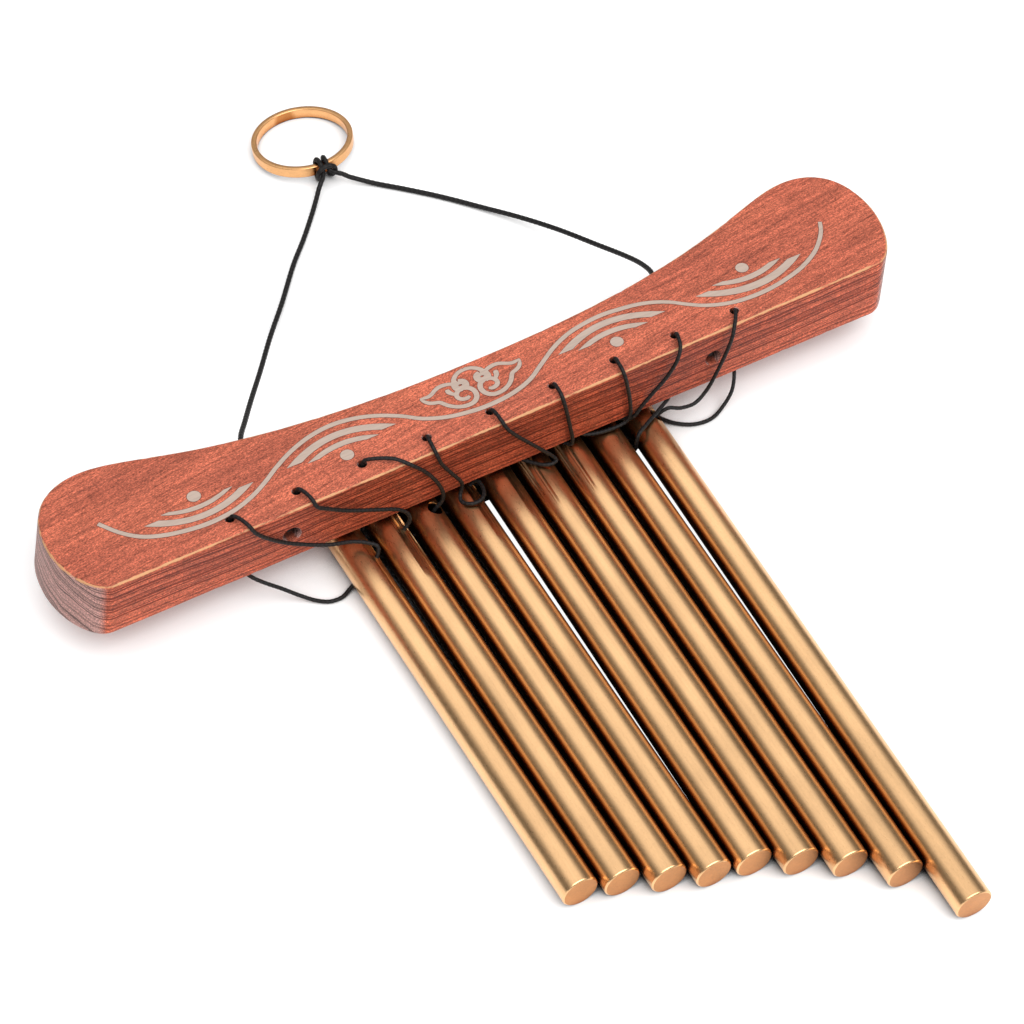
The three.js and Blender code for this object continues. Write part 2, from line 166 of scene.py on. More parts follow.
ROD_COUNT, MIDDLE_ROD = 9, 4
ROD_PITCH = 0.01138
ROD_ROW_SHIFT = -0.0033
ROD_ROW_Y = -0.005
ROD_FAN = 0.47
ROD_ROW_TURN = -0.81
ROD_ASIDE = [-0.00033, -0.00006, -0.00014, -0.00012, 0.0004, 0.00022, 0.00014, 0.00006, 0.00058]
ROD_TURN_ASIDE = [0.08, -0.08, 0.04, 0.03, -0.18, -0.09, 0.03, 0.17, 0.07]
CROSS_HOLE_Y = [-0.0085, -0.0039, -0.0014, 0.0017, 0.0068, 0.0086, 0.0094, 0.0076, -0.0005]
ROD_ROLL = [50, 31, 27, 38, 38, -35, -35, -38, 48]
ROD_HOLE_SHIFT = [0, 0, 0, 0.0012, 0, 0, 0, 0, 0]
SLING_HOLE_PITCH = 0.0194
SLING_HOLE_SHIFT = -0.0023
HANGER_HOLE_X = 0.0655
HANGER_EXIT_Y = 0.0308
COUNTERBORE_DEPTH = 0.008
RING_X, RING_REACH = 0.0099, 0.1775


def rod_turn(i):
    return math.radians(ROD_ROW_TURN - ROD_FAN * (i - MIDDLE_ROD) + ROD_TURN_ASIDE[i])


def rod_x(i, y):
    """Where the axis of a rod crosses a line along the bar, y from the bar's lower edge."""
    middle = ROD_ROW_SHIFT + ROD_PITCH * (i - MIDDLE_ROD) + ROD_ASIDE[i]
    return middle - (y - ROD_ROW_Y) * math.tan(rod_turn(i))


def gap_x(i, y):
    """Middle of the gap between a rod and the next one."""
    return (rod_x(i, y) + rod_x(i + 1, y)) / 2


def sling_hole_x(i):
    return SLING_HOLE_SHIFT + (i - MIDDLE_ROD) * SLING_HOLE_PITCH


def in_mm(points):
    """Points given in millimetres, in metres."""
    return [tuple(value * MM for value in point) for point in points]


# The routes below are in millimetres, with y from the bar's lower edge.
# Free stretch of each sling, from its hole in the bar's top face to the mouth of the cross hole
FRONT_RUNS = [
    [(-79.2, 4.9, 31.9), (-77.9, 2.6, 32.2), (-76.8, 0.1, 31.6), (-75.6, -1.3, 29.2),
     (-68.9, -1.1, 21.3), (-62.7, -2, 17.5), (-56.6, -3, 14.8), (-50.1, -3.6, 12.8),
     (-46.4, -5.2, 11.9), (-44.2, -7, 10.8)],
    [(-60.1, 4.9, 31.9), (-59.2, 2.7, 32.2), (-58.4, 0.1, 31.6), (-57.7, -1.3, 29.6),
     (-54.6, -1.3, 26.9), (-49.3, -1.5, 23.3), (-42.3, -2.2, 20.2), (-35.4, -2.8, 16.9),
     (-32.9, -3.2, 14), (-32.8, -3.6, 11.6)],
    [(-40.3, 5.5, 31.7), (-38, 4.4, 32.2), (-33.2, 1.8, 32), (-29.6, -1, 30.2), (-25.5, -1.4, 25),
     (-22.6, -1.8, 19.2), (-21.5, -1.9, 14.2), (-22.1, -1.7, 11.4)],
    [(-21.9, 4.8, 31.8), (-22.2, 2.6, 32.3), (-22.3, 0.1, 31.7), (-21.7, -1.3, 28.9),
     (-21.1, -1.3, 26.4), (-18.1, -1.7, 20.6), (-15.9, -1.8, 16.4), (-15.6, -1.6, 13.7),
     (-16.6, -2.2, 11.5), (-17.1, -3.9, 10.9), (-15.7, -5.7, 10.9), (-13.1, -6.3, 10.9),
     (-10.9, -5.2, 10.9), (-9.9, -3.2, 10.9), (-9.6, -1.1, 10.9), (-9.8, 0.6, 10.7),
     (-10.7, 1.5, 9.9)],
    [(-2.2, 4.8, 31.8), (-2, 2.6, 32.3), (-1.7, 0.1, 31.7), (-0.8, -1.3, 29.3), (1.6, -1.5, 25.5),
     (4.6, -1.9, 21.7), (9.2, -2.4, 15.9), (12, -3, 12.4), (12.7, -3.7, 11.1), (11.4, -4.1, 10.9),
     (9.4, -3.6, 10.9), (7.2, -1.8, 10.9), (5.2, 0.6, 10.9), (3.4, 3.4, 10.9), (1.8, 5.8, 10.6)],
    [(17.1, 4.8, 31.8), (17, 2.6, 32.3), (16.9, 0.1, 31.7), (17.1, -1.3, 28.9), (18.5, -1.2, 19.8),
     (19.2, -1.3, 13.6), (18.8, -1, 11.8), (17.1, 1.8, 10.9), (12.3, 5, 10.9), (8.9, 7.4, 11),
     (6.7, 8.4, 10.7)],
    [(36.4, 4.8, 31.8), (36.1, 2.6, 32.3), (36, 0.1, 31.7), (36.3, -1.3, 28.9), (36.8, -1.2, 26),
     (37.6, -1.3, 19.6), (37.6, -1.3, 14), (36.5, -1.2, 11.8), (34.6, -1, 11), (31.6, -0.9, 10.9),
     (27.8, -0.4, 10.9), (24.3, 1, 10.9), (21, 4.4, 10.9), (18.4, 7.6, 10.9)],
    [(55.8, 4.8, 31.8), (55.2, 2.4, 32.3), (54.4, 0.1, 31.6), (52.8, -1.4, 29.1),
     (49.3, -1.4, 23.4), (45, -1.4, 19.3), (41.1, -1.4, 15.5), (38.8, -1.3, 12.7), (37, 0.6, 10.9),
     (33, 4.2, 10.9), (30.2, 6.6, 10.9), (28.5, 7.4, 10.7)],
    [(74.8, 4.6, 31.8), (73.4, 2, 32.2), (71.7, -0.2, 31.3), (70.4, -1.5, 29), (69, -1.6, 24.8),
     (65.8, -1.7, 17.6), (62.3, -1.7, 11.2), (58.1, -2.4, 8.8), (53.5, -2.4, 9.3),
     (49.9, -1.4, 10.2)],
]

# Free stretch of each sling, from the lower mouth of the cross hole to the bar's underside. A point
# without an x lies in the middle of the gap between two rods, whose first rod CLIMB_GAPS names.
CLIMB_GAPS = [None, 0, 1, 2, 3, 5, 6, 7, None]
BACK_RUNS = [
    [(-54.9, -9.2, 0.85), (-57.4, -10.4, 0.75), (-60.9, -10.2, 0.75), (-64.1, -8.2, 0.9),
     (-67.5, -5.6, 2.2), (-71.6, -3, 5), (-75.9, -0.7, 8), (-78.3, 1.6, 9.4), (-79.6, 4.2, 10.6)],
    [(-41.9, -3.1, 0.8), (-43.1, -0.8, 0.8), (None, 4, 1), (None, 7, 2.4), (None, 8.6, 5),
     (None, 8.6, 8.4), (-45.6, 7.9, 10.7), (-49.8, 7.2, 10.9), (-53.8, 6.7, 10.9),
     (-57.1, 6.2, 10.9), (-59, 5.9, 10.9)],
    [(-30.6, -0.6, 0.8), (-31.8, 1.8, 0.8), (None, 5, 1.2), (None, 8, 3), (None, 9.2, 5.8),
     (None, 9, 8.6), (-33.7, 8.3, 10.7), (-36.2, 7.4, 10.9), (-38.5, 6.5, 10.9),
     (-39.9, 6.1, 10.9)],
    [(-19.5, 2.4, 0.8), (-20.4, 4.4, 0.9), (None, 7, 1.8), (None, 9, 4.2), (None, 9.4, 7),
     (None, 8.8, 9.6), (-21.4, 7.2, 10.9)],
    [(-7.5, 7.6, 0.8), (-8.4, 9.6, 0.9), (None, 12.2, 2), (None, 13.8, 4.6), (None, 13.6, 7.8),
     (-8.5, 12, 10.2), (-6.7, 9.8, 10.9), (-4.9, 7.8, 10.9), (-3.6, 6.6, 10.9)],
    [(13.1, 9.4, 0.8), (14.2, 11.2, 0.9), (None, 13.6, 2.2), (None, 15, 5), (None, 14.6, 8.2),
     (14.6, 12.6, 10.6), (14.7, 9.4, 10.9), (15.4, 7, 10.9), (16.2, 6.2, 10.9)],
    [(24.4, 10.2, 0.8), (25.6, 12, 0.9), (None, 14.6, 2.2), (None, 16, 5), (None, 15.6, 8.4),
     (27.6, 13.6, 10.7), (31.4, 10.4, 10.9), (34.2, 7.4, 10.9), (35.4, 6.5, 10.9)],
    [(35.1, 6.8, 0.8), (35.5, 4, 0.8), (35.6, 0, 0.8), (36.1, -3.6, 1.4), (None, -5.8, 4.4),
     (None, -6.4, 7.6), (37.8, -6, 10.2), (40.9, -4.5, 10.9), (46.7, -1.4, 10.9), (51.9, 1.6, 10.9),
     (54.6, 4.2, 10.9)],
    [(38.4, 1.4, 0.75), (38.1, 4.5, 0.75), (38.3, 9, 0.75), (39.1, 14, 0.75), (41.5, 17.6, 0.75),
     (45.5, 17.5, 0.75), (48.4, 13.6, 0.75), (49.1, 8, 0.75), (50.7, 3.5, 0.75), (53.6, -0.4, 0.75),
     (58.1, -3.2, 0.75), (63.4, -3.6, 0.75), (68.3, -1.8, 1.8), (71.8, -0.4, 5), (74, 2.2, 8.6),
     (75, 4.6, 10.6)],
]

# Free stretches of the hanger's legs, from the bar's upper edge to the knot on the ring
LEFT_LEG = in_mm([
    (-65.3, 31.5, 21), (-64.6, 35, 20.2), (-62.6, 41.5, 18), (-58, 50, 14.2), (-52, 60.4, 10),
    (-44.1, 72.9, 6), (-34.5, 87.5, 3), (-25.4, 99.8, 1.4), (-15.3, 113.6, 0.9), (-7.9, 122.3, 0.9),
    (-0.9, 131.2, 0.95), (2.8, 135.9, 1.6), (5.2, 138.9, 2.5),
])
RIGHT_LEG = in_mm([
    (65.6, 31.5, 21), (66.6, 35, 20.4), (68.4, 40.5, 19.2), (68.9, 47, 16.8), (68.2, 54.2, 14),
    (65.1, 68.2, 9), (60.1, 83.4, 5), (53.7, 96.3, 2.5), (46.1, 107.5, 1.2), (37.9, 117.8, 0.9),
    (29.2, 127.1, 0.9), (22.4, 133.8, 1), (18.8, 136.9, 1.7), (15.9, 139.2, 2.5),
])


def back_run(i):
    """Points of a sling's stretch below the rods."""
    return [(gap_x(CLIMB_GAPS[i], y * MM) if x is None else x * MM, y * MM, z * MM)
            for x, y, z in BACK_RUNS[i]]


# Shared helpers


def in_frame(points):
    """Route points, measured from the bar's lower edge, as points of the model."""
    return [Vector((x, y + EDGE_Y, z)) for x, y, z in points]


def smooth_route(points, per_span=14):
    """A smooth line through the points, with more room where they are further apart."""
    route = [Vector(p) for p in points]
    padded = [2 * route[0] - route[1]] + route + [2 * route[-1] - route[-2]]
    line = []
    for p0, p1, p2, p3 in zip(padded, padded[1:], padded[2:], padded[3:]):
        d0, d1, d2 = (max((b - a).length ** 0.5, 1e-6) for a, b in ((p0, p1), (p1, p2), (p2, p3)))
        t1 = ((p1 - p0) / d0 - (p2 - p0) / (d0 + d1) + (p2 - p1) / d1) * d1
        t2 = ((p2 - p1) / d1 - (p3 - p1) / (d1 + d2) + (p3 - p2) / d2) * d1
        for k in range(per_span):
            t = k / per_span
            line.append((2 * t**3 - 3 * t**2 + 1) * p1 + (t**3 - 2 * t**2 + t) * t1
                        + (3 * t**2 - 2 * t**3) * p2 + (t**3 - t**2) * t2)
    line.append(route[-1])
    return line


class Nodes:
    """Makes the nodes of one tree. An input is given as a value or as another node's socket."""

    def __init__(self, tree):
        self.tree = tree

    def give(self, node, inputs):
        """Set or link a node's inputs, by name or by number."""
        for name, value in inputs.items():
            if isinstance(value, bpy.types.NodeSocket):
                self.tree.links.new(value, node.inputs[name])
            else:
                node.inputs[name].default_value = value

    def add(self, kind, inputs=(), **settings):
        node = self.tree.nodes.new(kind)
        for name, value in settings.items():
            setattr(node, name, value)
        self.give(node, dict(inputs))
        return node

    def maths(self, operation, a, b=0.0, c=0.0):
        return self.add("ShaderNodeMath", {0: a, 1: b, 2: c}, operation=operation).outputs[0]

    def plus(self, a, b):
        return self.maths("ADD", a, b)

    def minus(self, a, b):
        return self.maths("SUBTRACT", a, b)

    def times(self, a, b):
        return self.maths("MULTIPLY", a, b)

    def scaled(self, a, factor, offset):
        return self.maths("MULTIPLY_ADD", a, factor, offset)

    def absolute(self, a):
        return self.maths("ABSOLUTE", a)

    def axes(self, vector):
        return self.add("ShaderNodeSeparateXYZ", {0: vector}).outputs

    def vector(self, x=0.0, y=0.0, z=0.0):
        return self.add("ShaderNodeCombineXYZ", {0: x, 1: y, 2: z}).outputs[0]


class GeometryTree(Nodes):
    """A geometry node tree with named inputs, from a mesh to a mesh."""

    def __init__(self, name, inputs):
        super().__init__(bpy.data.node_groups.new(name, "GeometryNodeTree"))
        face = self.tree.interface
        face.new_socket("Geometry", in_out="INPUT", socket_type="NodeSocketGeometry")
        for label, kind in inputs:
            face.new_socket(label, in_out="INPUT", socket_type="NodeSocket" + kind)
        face.new_socket("Geometry", in_out="OUTPUT", socket_type="NodeSocketGeometry")
        self.given = self.tree.nodes.new("NodeGroupInput").outputs

    def keep_attribute(self, geometry, name, value, domain):
        return self.add("GeometryNodeStoreNamedAttribute", {
            "Geometry": geometry, "Name": name, "Value": value,
        }, data_type="FLOAT", domain=domain).outputs[0]

    def moved(self, geometry, place=(0, 0, 0), turn=(0, 0, 0)):
        return self.add("GeometryNodeTransform", {
            "Geometry": geometry, "Translation": place, "Rotation": turn,
        }).outputs[0]

    def close(self, geometry):
        """Real geometry with its material at the end of the tree."""
        real = self.add("GeometryNodeRealizeInstances", {0: geometry}).outputs[0]
        done = self.add("GeometryNodeSetMaterial", {
            "Geometry": real, "Material": self.given["Material"],
        })
        self.give(self.tree.nodes.new("NodeGroupOutput"), {0: done.outputs[0]})
        return self.tree


def run_tree(obj, tree, values):
    """Run a node tree with the given inputs on an object and keep the plain mesh that it makes."""
    modifier = obj.modifiers.new(tree.name, "NODES")
    modifier.node_group = tree
    for item in tree.interface.items_tree:
        if item.in_out == "INPUT" and item.name in values:
            modifier[item.identifier] = values[item.name]
    keep_plain(obj)


def keep_plain(obj):
    """Turn what an object's modifiers make into its own mesh."""
    bpy.context.view_layer.update()
    graph = bpy.context.evaluated_depsgraph_get()
    mesh = bpy.data.meshes.new_from_object(obj.evaluated_get(graph))
    obj.modifiers.clear()
    obj.data = mesh
    mesh.name = obj.name
    if not mesh.polygons:
        raise RuntimeError(f"{obj.name} came out empty")


def new_object(name, vertices=(), edges=(), faces=()):
    mesh = bpy.data.meshes.new(name)
    mesh.from_pydata([tuple(v) for v in vertices], list(edges), list(faces))
    obj = bpy.data.objects.new(name, mesh)
    bpy.context.scene.collection.objects.link(obj)
    return obj


def shade(obj, degrees=30):
    """Smooth shading with a crease wherever two faces meet at more than an angle."""
    work = bmesh.new()
    work.from_mesh(obj.data)
    limit = math.radians(degrees)
    for face in work.faces:
        face.smooth = True
    for edge in work.edges:
        edge.smooth = not edge.is_manifold or edge.calc_face_angle(0) < limit
    work.to_mesh(obj.data)
    work.free()


def face_outwards(obj, merge=1e-7):
    work = bmesh.new()
    work.from_mesh(obj.data)
    bmesh.ops.remove_doubles(work, verts=work.verts, dist=merge)
    bmesh.ops.recalc_face_normals(work, faces=work.faces)
    work.to_mesh(obj.data)
    work.free()


def new_shells(name, shells):
    """An object of closed bodies, each of rows of points with a cap on the first and last row."""
    vertices, faces = [], []
    for rows in shells:
        first, count = len(vertices), len(rows[0])
        last = first + (len(rows) - 1) * count
        for row in range(first, last, count):
            for k in range(count):
                a, b = row + k, row + (k + 1) % count
                faces.append((a, b, b + count, a + count))
        faces += [tuple(reversed(range(first, first + count))), tuple(range(last, last + count))]
        vertices += [point for row in rows for point in row]
    obj = new_object(name, vertices, (), faces)
    face_outwards(obj)
    return obj


def full_turn(sides):
    return [2 * math.pi * k / sides for k in range(sides)]


# Materials


def rgba(tint):
    """A grey number, or a colour's three values, with full alpha."""
    return (tint, tint, tint, 1) if isinstance(tint, (int, float)) else (*tint, 1)


def times_colour(tint, factor):
    return [value * factor for value in tint]


class Finish(Nodes):
    """The nodes of a material or a world round its shader, the skin."""

    def __init__(self, owner, shader="Principled BSDF"):
        owner.use_nodes = True
        super().__init__(owner.node_tree)
        self.owner, self.skin = owner, self.tree.nodes[shader]

    def place(self, kind="Object"):
        return self.add("ShaderNodeTexCoord").outputs[kind]

    def attribute(self, name):
        return self.add("ShaderNodeAttribute", attribute_name=name).outputs["Fac"]

    def openness(self, distance, samples):
        """How open a place lies: 1 in the open and 0 deep in a crevice."""
        return self.add("ShaderNodeAmbientOcclusion", {"Distance": distance},
                        samples=samples).outputs["AO"]

    def ramp(self, factor, *stops):
        """A colour ramp with stops of place and tint."""
        node = self.add("ShaderNodeValToRGB", {0: factor})
        band = node.color_ramp
        while len(band.elements) < len(stops):
            band.elements.new(0.5)
        for element, (place, tint) in zip(band.elements, stops):
            element.position, element.color = place, rgba(tint)
        return node.outputs[0]

    def mixed(self, factor, a, b, mode="MIX"):
        node = self.add("ShaderNodeMix", data_type="RGBA", blend_type=mode)
        a, b = (c if isinstance(c, bpy.types.NodeSocket) else rgba(c) for c in (a, b))
        self.give(node, {0: factor, 6: a, 7: b})
        return node.outputs[2]

    def tinted(self, colour, tone):
        return self.mixed(1.0, colour, tone, "MULTIPLY")

    def noise(self, coordinates, scale, detail=3.0, roughness=0.5):
        """Noise drawn out along an axis by a scale for each axis."""
        mapping = self.add("ShaderNodeMapping", {"Vector": coordinates, "Scale": scale})
        return self.add("ShaderNodeTexNoise", {
            "Vector": mapping.outputs[0], "Scale": 1.0, "Detail": detail, "Roughness": roughness,
        }).outputs[0]

    def bump(self, strength, distance, height):
        return self.add("ShaderNodeBump", {
            "Strength": strength, "Distance": distance, "Height": height,
        }).outputs[0]

    def close(self, inputs):
        """The finished material or world, with the given inputs on its skin."""
        self.give(self.skin, inputs)
        return self.owner


def new_finish(name):
    return Finish(bpy.data.materials.new(name))


# Heart of the tree that the bar was cut from, as the centre line of its growth layers
HEART_Y, HEART_DEPTH = 0.031, 0.045
LAYERS_PER_METRE = 820
FIBRE_TURN = -9  # degrees


def wood_material(s):
    """Stained wood: growth layers that show as lines, fine fibres, rubbed arrises, and painted
    shade in crevices and on the long sides.
    """
    t = new_finish("Stained wood")
    here = t.place()
    axes, facing = t.axes(here), t.axes(t.place("Normal"))
    flatness, endness = t.absolute(facing["Z"]), t.absolute(facing["X"])

    # Growth layers are wide arcs about a line below the bar, so all the edges cut across them
    aside, above = t.minus(axes["Y"], HEART_Y), t.plus(axes["Z"], HEART_DEPTH)
    arc = t.maths("SQRT", t.scaled(aside, aside, t.times(above, above)))
    depth = t.scaled(t.noise(here, (12, 60, 60)), 0.0065, arc)
    layers = t.add("ShaderNodeTexNoise", {
        "W": t.times(depth, LAYERS_PER_METRE), "Scale": 1, "Detail": 2.5, "Roughness": 0.62,
    }, noise_dimensions="1D").outputs[0]
    lines = t.ramp(layers, (0.38, 1), (0.47, 0.5), (0.53, 0), (0.60, 1))

    # On the top face the layers show only as broad soft streaks
    dark = t.times(lines, t.scaled(flatness, -0.8, 0.95))

    # The fibres run a little askew to the bar
    askew = t.add("ShaderNodeVectorRotate", {0: here, "Angle": math.radians(FIBRE_TURN)},
                  rotation_type="Z_AXIS").outputs[0]
    fibres = t.noise(askew, (70, 1100, 1100), 4, 0.65)
    flecks = t.ramp(t.noise(askew, (210, 1900, 1900), 2, 0.7), (0.55, 0), (0.68, 1))
    grains = t.noise(askew, (1700, 3200, 3200), 2, 0.7)
    grain_tone = t.ramp(grains, (0.3, 0.40), (0.5, 1.0), (0.7, 1.75))

    body = t.mixed(dark, s.wood, s.growth)
    body = t.tinted(body, t.ramp(fibres, (0.28, 0.55), (0.5, 0.97), (0.72, 1.4)))
    body = t.tinted(body, grain_tone)
    patches = t.noise(here, (24, 60, 60))
    body = t.tinted(body, t.ramp(patches, (0.3, (0.84, 0.78, 0.78)), (0.7, (1.12, 1.1, 1.05))))
    body = t.mixed(t.times(flecks, 0.42), body, times_colour(s.growth, 0.6))

    # Painted shade and light: the long sides are darker in their middle, where the rods keep the
    # table's light off, and lighter towards the ends
    from_middle = t.absolute(axes["X"])
    side_painted_light = t.ramp(from_middle, (0.045, (0.78, 0.62, 0.52)), (0.10, (1.2, 1.15, 1.1)))
    body = t.tinted(body, t.mixed(flatness, side_painted_light, 1.0))

    # The ends cut across every layer and take the stain as a pale mauve
    end_wood = t.tinted(s.end_grain, t.ramp(layers, (0.36, 0.22), (0.48, 1.0), (0.62, 0.35)))
    end_wood = t.tinted(end_wood, grain_tone)
    ends = t.times(t.ramp(endness, (0.38, 0), (0.62, 1)), 0.92)
    body = t.mixed(ends, body, end_wood)

    # Rubbed edges, broken up along the bar
    broken = t.scaled(t.noise(here, (150, 420, 420), 4, 0.7), 1.8, -1.35)
    rubbed = t.ramp(t.plus(t.attribute("worn"), broken), (0.2, 0), (0.5, 1))
    body = t.mixed(rubbed, body, t.mixed(fibres, times_colour(s.worn, 0.62), s.worn))
    # Painted shade: the wood is darkened in crevices, inside the holes and where the cords lie
    # close
    deep = t.ramp(t.openness(0.006, 6), (0.16, 0.06), (0.42, 1.0))
    relief = t.plus(t.scaled(grains, 0.35, t.times(fibres, 0.6)),
                    t.scaled(dark, -0.35, t.times(flecks, -0.5)))
    return t.close({
        "Base Color": t.tinted(body, deep), "Roughness": t.scaled(fibres, 0.22, 0.42),
        "Specular IOR Level": 0.3, "Normal": t.bump(0.6, 0.00014, relief),
    })


def print_material(s):
    """Matt ink, slightly thin over the grain."""
    t = new_finish("Print ink")
    grain = t.noise(t.place(), (160, 1500, 1500), 3, 0.6)
    thin = times_colour(s.print_colour, 0.84)
    return t.close({
        "Base Color": t.ramp(grain, (0.3, thin), (0.62, s.print_colour)),
        "Roughness": t.scaled(grain, 0.2, 0.45), "Normal": t.bump(0.3, 0.00004, grain),
    })


def print_edge_material(s):
    """Darker halo where the ink's edge has burnt into the stain."""
    t = new_finish("Print edge")
    grain = t.noise(t.place(), (120, 900, 900), 3, 0.6)
    tone = t.ramp(grain, (0.3, times_colour(s.growth, 0.55)), (0.7, times_colour(s.growth, 1.3)))
    return t.close({"Base Color": tone, "Roughness": 0.6})


def metal_material(name, tint, roughness, stretch, depth):
    """Brushed metal: fine streaks, painted shade that deepens in crevices, and dull sawn ends."""
    t = new_finish(name)
    here = t.place()
    streaks = t.noise(here, stretch, 3, 0.6)
    grains = t.noise(here, (2600, 900, 2600), 2, 0.7)
    clouds = t.noise(here, (160, 60, 160))
    bright = t.ramp(clouds, (0.3, times_colour(tint, 0.86)), (0.65, tint))
    drawn = t.scaled(grains, 0.5, t.times(streaks, 0.5))
    bright = t.tinted(bright, t.ramp(drawn, (0.35, 0.86), (0.6, 1.0)))
    along = t.absolute(t.axes(t.place("Normal"))["Y"])
    bright = t.tinted(bright, t.ramp(along, (0.96, 1.0), (0.985, (0.64, 0.47, 0.33))))
    # Painted shade: the metal darkens towards black where other pieces lie close, between the rods,
    # under the bar and round the cords
    metal_painted_shade = t.ramp(t.openness(0.005, 8), (0.30, (0.10, 0.04, 0.015)), (0.50, (0.60, 0.40, 0.26)),
                   (0.72, 1.0))
    bright = t.tinted(bright, metal_painted_shade)
    return t.close({
        "Base Color": t.mixed(t.attribute("bore"), bright, times_colour(tint, 0.04)),
        "Metallic": 1.0, "Roughness": t.scaled(grains, 0.14, roughness - 0.07),
        "Normal": t.bump(0.35, depth, t.plus(streaks, t.times(grains, 0.25))),
    })


def cord_material(s):
    """Black waxed cord: the strands' crowns are rubbed greyer, and the hollows between them are
    painted darker as shade.
    """
    t = new_finish("Waxed cord")
    fuzz = t.noise(t.place(), (3000, 3000, 3000), 2)
    crown = t.scaled(fuzz, 0.35, t.scaled(t.attribute("braid"), 0.5, 0.3))
    # Painted shade: the hollows between the strands are darker than the dye; the crowns are rubbed
    # greyer as wear
    hollow_shade, rubbed = times_colour(s.dye, 0.35), times_colour(s.dye, 3.2)
    tone = t.ramp(crown, (0.15, hollow_shade), (0.55, s.dye), (0.95, rubbed))
    return t.close({
        "Base Color": tone, "Roughness": t.scaled(fuzz, 0.25, 0.45), "Specular IOR Level": 0.3,
        "Normal": t.bump(0.4, 0.00003, fuzz),
    })


# Cords

CORD_SIDES = 24
TURN_PIECES = 48  # of one turn of a stop knot
KNOT_AIR = 0.35 * MM  # between the ring and its knot
CORD_RINGS = 6  # in a stretch of one diameter
BRAID_LENGTH = 2.2  # of one turn of the braid, in diameters


def braided_cord_tree():
    """Geometry nodes that sweep a braided cord along an open line."""
    t = GeometryTree("Braided cord", [
        ("Diameter", "Float"), ("Step", "Float"), ("Relief", "Float"), ("Strands", "Float"),
        ("Braid length", "Float"), ("Material", "Material"),
    ])
    given = t.given

    def measured(curve, name, measure):
        """A curve that keeps one of its spline's measures, and that measure."""
        kept = t.add("GeometryNodeCaptureAttribute", {"Geometry": curve})
        kept.capture_items.new("FLOAT", name)
        t.give(kept, {name: t.add("GeometryNodeSplineParameter").outputs[measure]})
        return kept.outputs[0], kept.outputs[name]

    line = t.add("GeometryNodeMeshToCurve", {0: given["Geometry"]}).outputs[0]
    even = t.add("GeometryNodeResampleCurve", {"Curve": line, "Length": given["Step"]},
                 mode="LENGTH")
    path, along = measured(even.outputs[0], "Along", "Length")
    circle = t.add("GeometryNodeCurvePrimitiveCircle", {
        "Resolution": CORD_SIDES, "Radius": t.times(given["Diameter"], 0.5),
    })
    section, around = measured(circle.outputs[0], "Around", "Factor")
    tube = t.add("GeometryNodeCurveToMesh", {
        "Curve": path, "Profile Curve": section, "Fill Caps": True,
    }).outputs[0]

    # Two sets of strands that wind opposite ways: each crown lies where both are high
    turns = t.times(around, given["Strands"])
    pitch = t.maths("DIVIDE", along, given["Braid length"])
    one_way = t.maths("SINE", t.times(t.plus(turns, pitch), 2 * math.pi))
    other_way = t.maths("SINE", t.times(t.minus(turns, pitch), 2 * math.pi))
    braid = t.times(one_way, other_way)
    height = t.times(t.times(braid, given["Relief"]), given["Diameter"])
    normal = t.add("GeometryNodeInputNormal").outputs[0]
    lift = t.add("ShaderNodeVectorMath", {0: normal, "Scale": height}, operation="SCALE").outputs[0]
    raised = t.add("GeometryNodeSetPosition", {"Geometry": tube, "Offset": lift}).outputs[0]
    kept = t.keep_attribute(raised, "braid", braid, "POINT")
    return t.close(t.add("GeometryNodeSetShadeSmooth", {0: kept}).outputs[0])


def sweep_cord(name, line, diameter, tree, material, s, node):
    """A braided cord along a smooth line, as a plain mesh."""
    obj = new_object(name, line, [(k, k + 1) for k in range(len(line) - 1)])
    run_tree(obj, tree, {
        "Diameter": diameter, "Step": diameter / CORD_RINGS, "Relief": s.relief,
        "Strands": float(s.strands), "Braid length": diameter * BRAID_LENGTH, "Material": material,
    })
    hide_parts(node)
    return obj


def rod_place(i, rods):
    """Middle of a rod's cross hole and the way that the hole's upper mouth faces."""
    turn, roll = rod_turn(i), math.radians(ROD_ROLL[i])
    hole = Vector((rod_x(i, CROSS_HOLE_Y[i]), CROSS_HOLE_Y[i], rods.diameter / 2))
    aside = math.sin(roll)
    return hole, Vector((math.cos(turn) * aside, math.sin(turn) * aside, math.cos(roll)))


def sling_line(i, rods, bar):
    """Whole line of a sling, from inside its hole in the bar round to the same hole from below."""
    hole, mouth = rod_place(i, rods)
    inside = rods.diameter / 2 - 0.6 * MM
    x, y = sling_hole_x(i), bar.hole_edge
    points = [
        (x, y, BAR_TOP - 3.4 * MM), (x, y, BAR_TOP - 0.4 * MM), *in_mm(FRONT_RUNS[i]),
        tuple(hole + mouth * inside), tuple(hole), tuple(hole - mouth * inside), *back_run(i),
        (x, y, BAR_BOTTOM + 0.8 * MM), (x, y, BAR_BOTTOM + 3 * MM),
    ]
    return smooth_route(in_frame(points))


def leg_line(side, free):
    """Line of one leg of the hanger, from its stop knot through the bar to the ring's knot."""
    x = side * HANGER_HOLE_X
    points = [(x, 0.002, BAR_MIDDLE), (x, COUNTERBORE_DEPTH, BAR_MIDDLE),
              (x, HANGER_EXIT_Y - 0.004, BAR_MIDDLE), (x, HANGER_EXIT_Y, BAR_MIDDLE), *free]
    return smooth_route(in_frame(points))


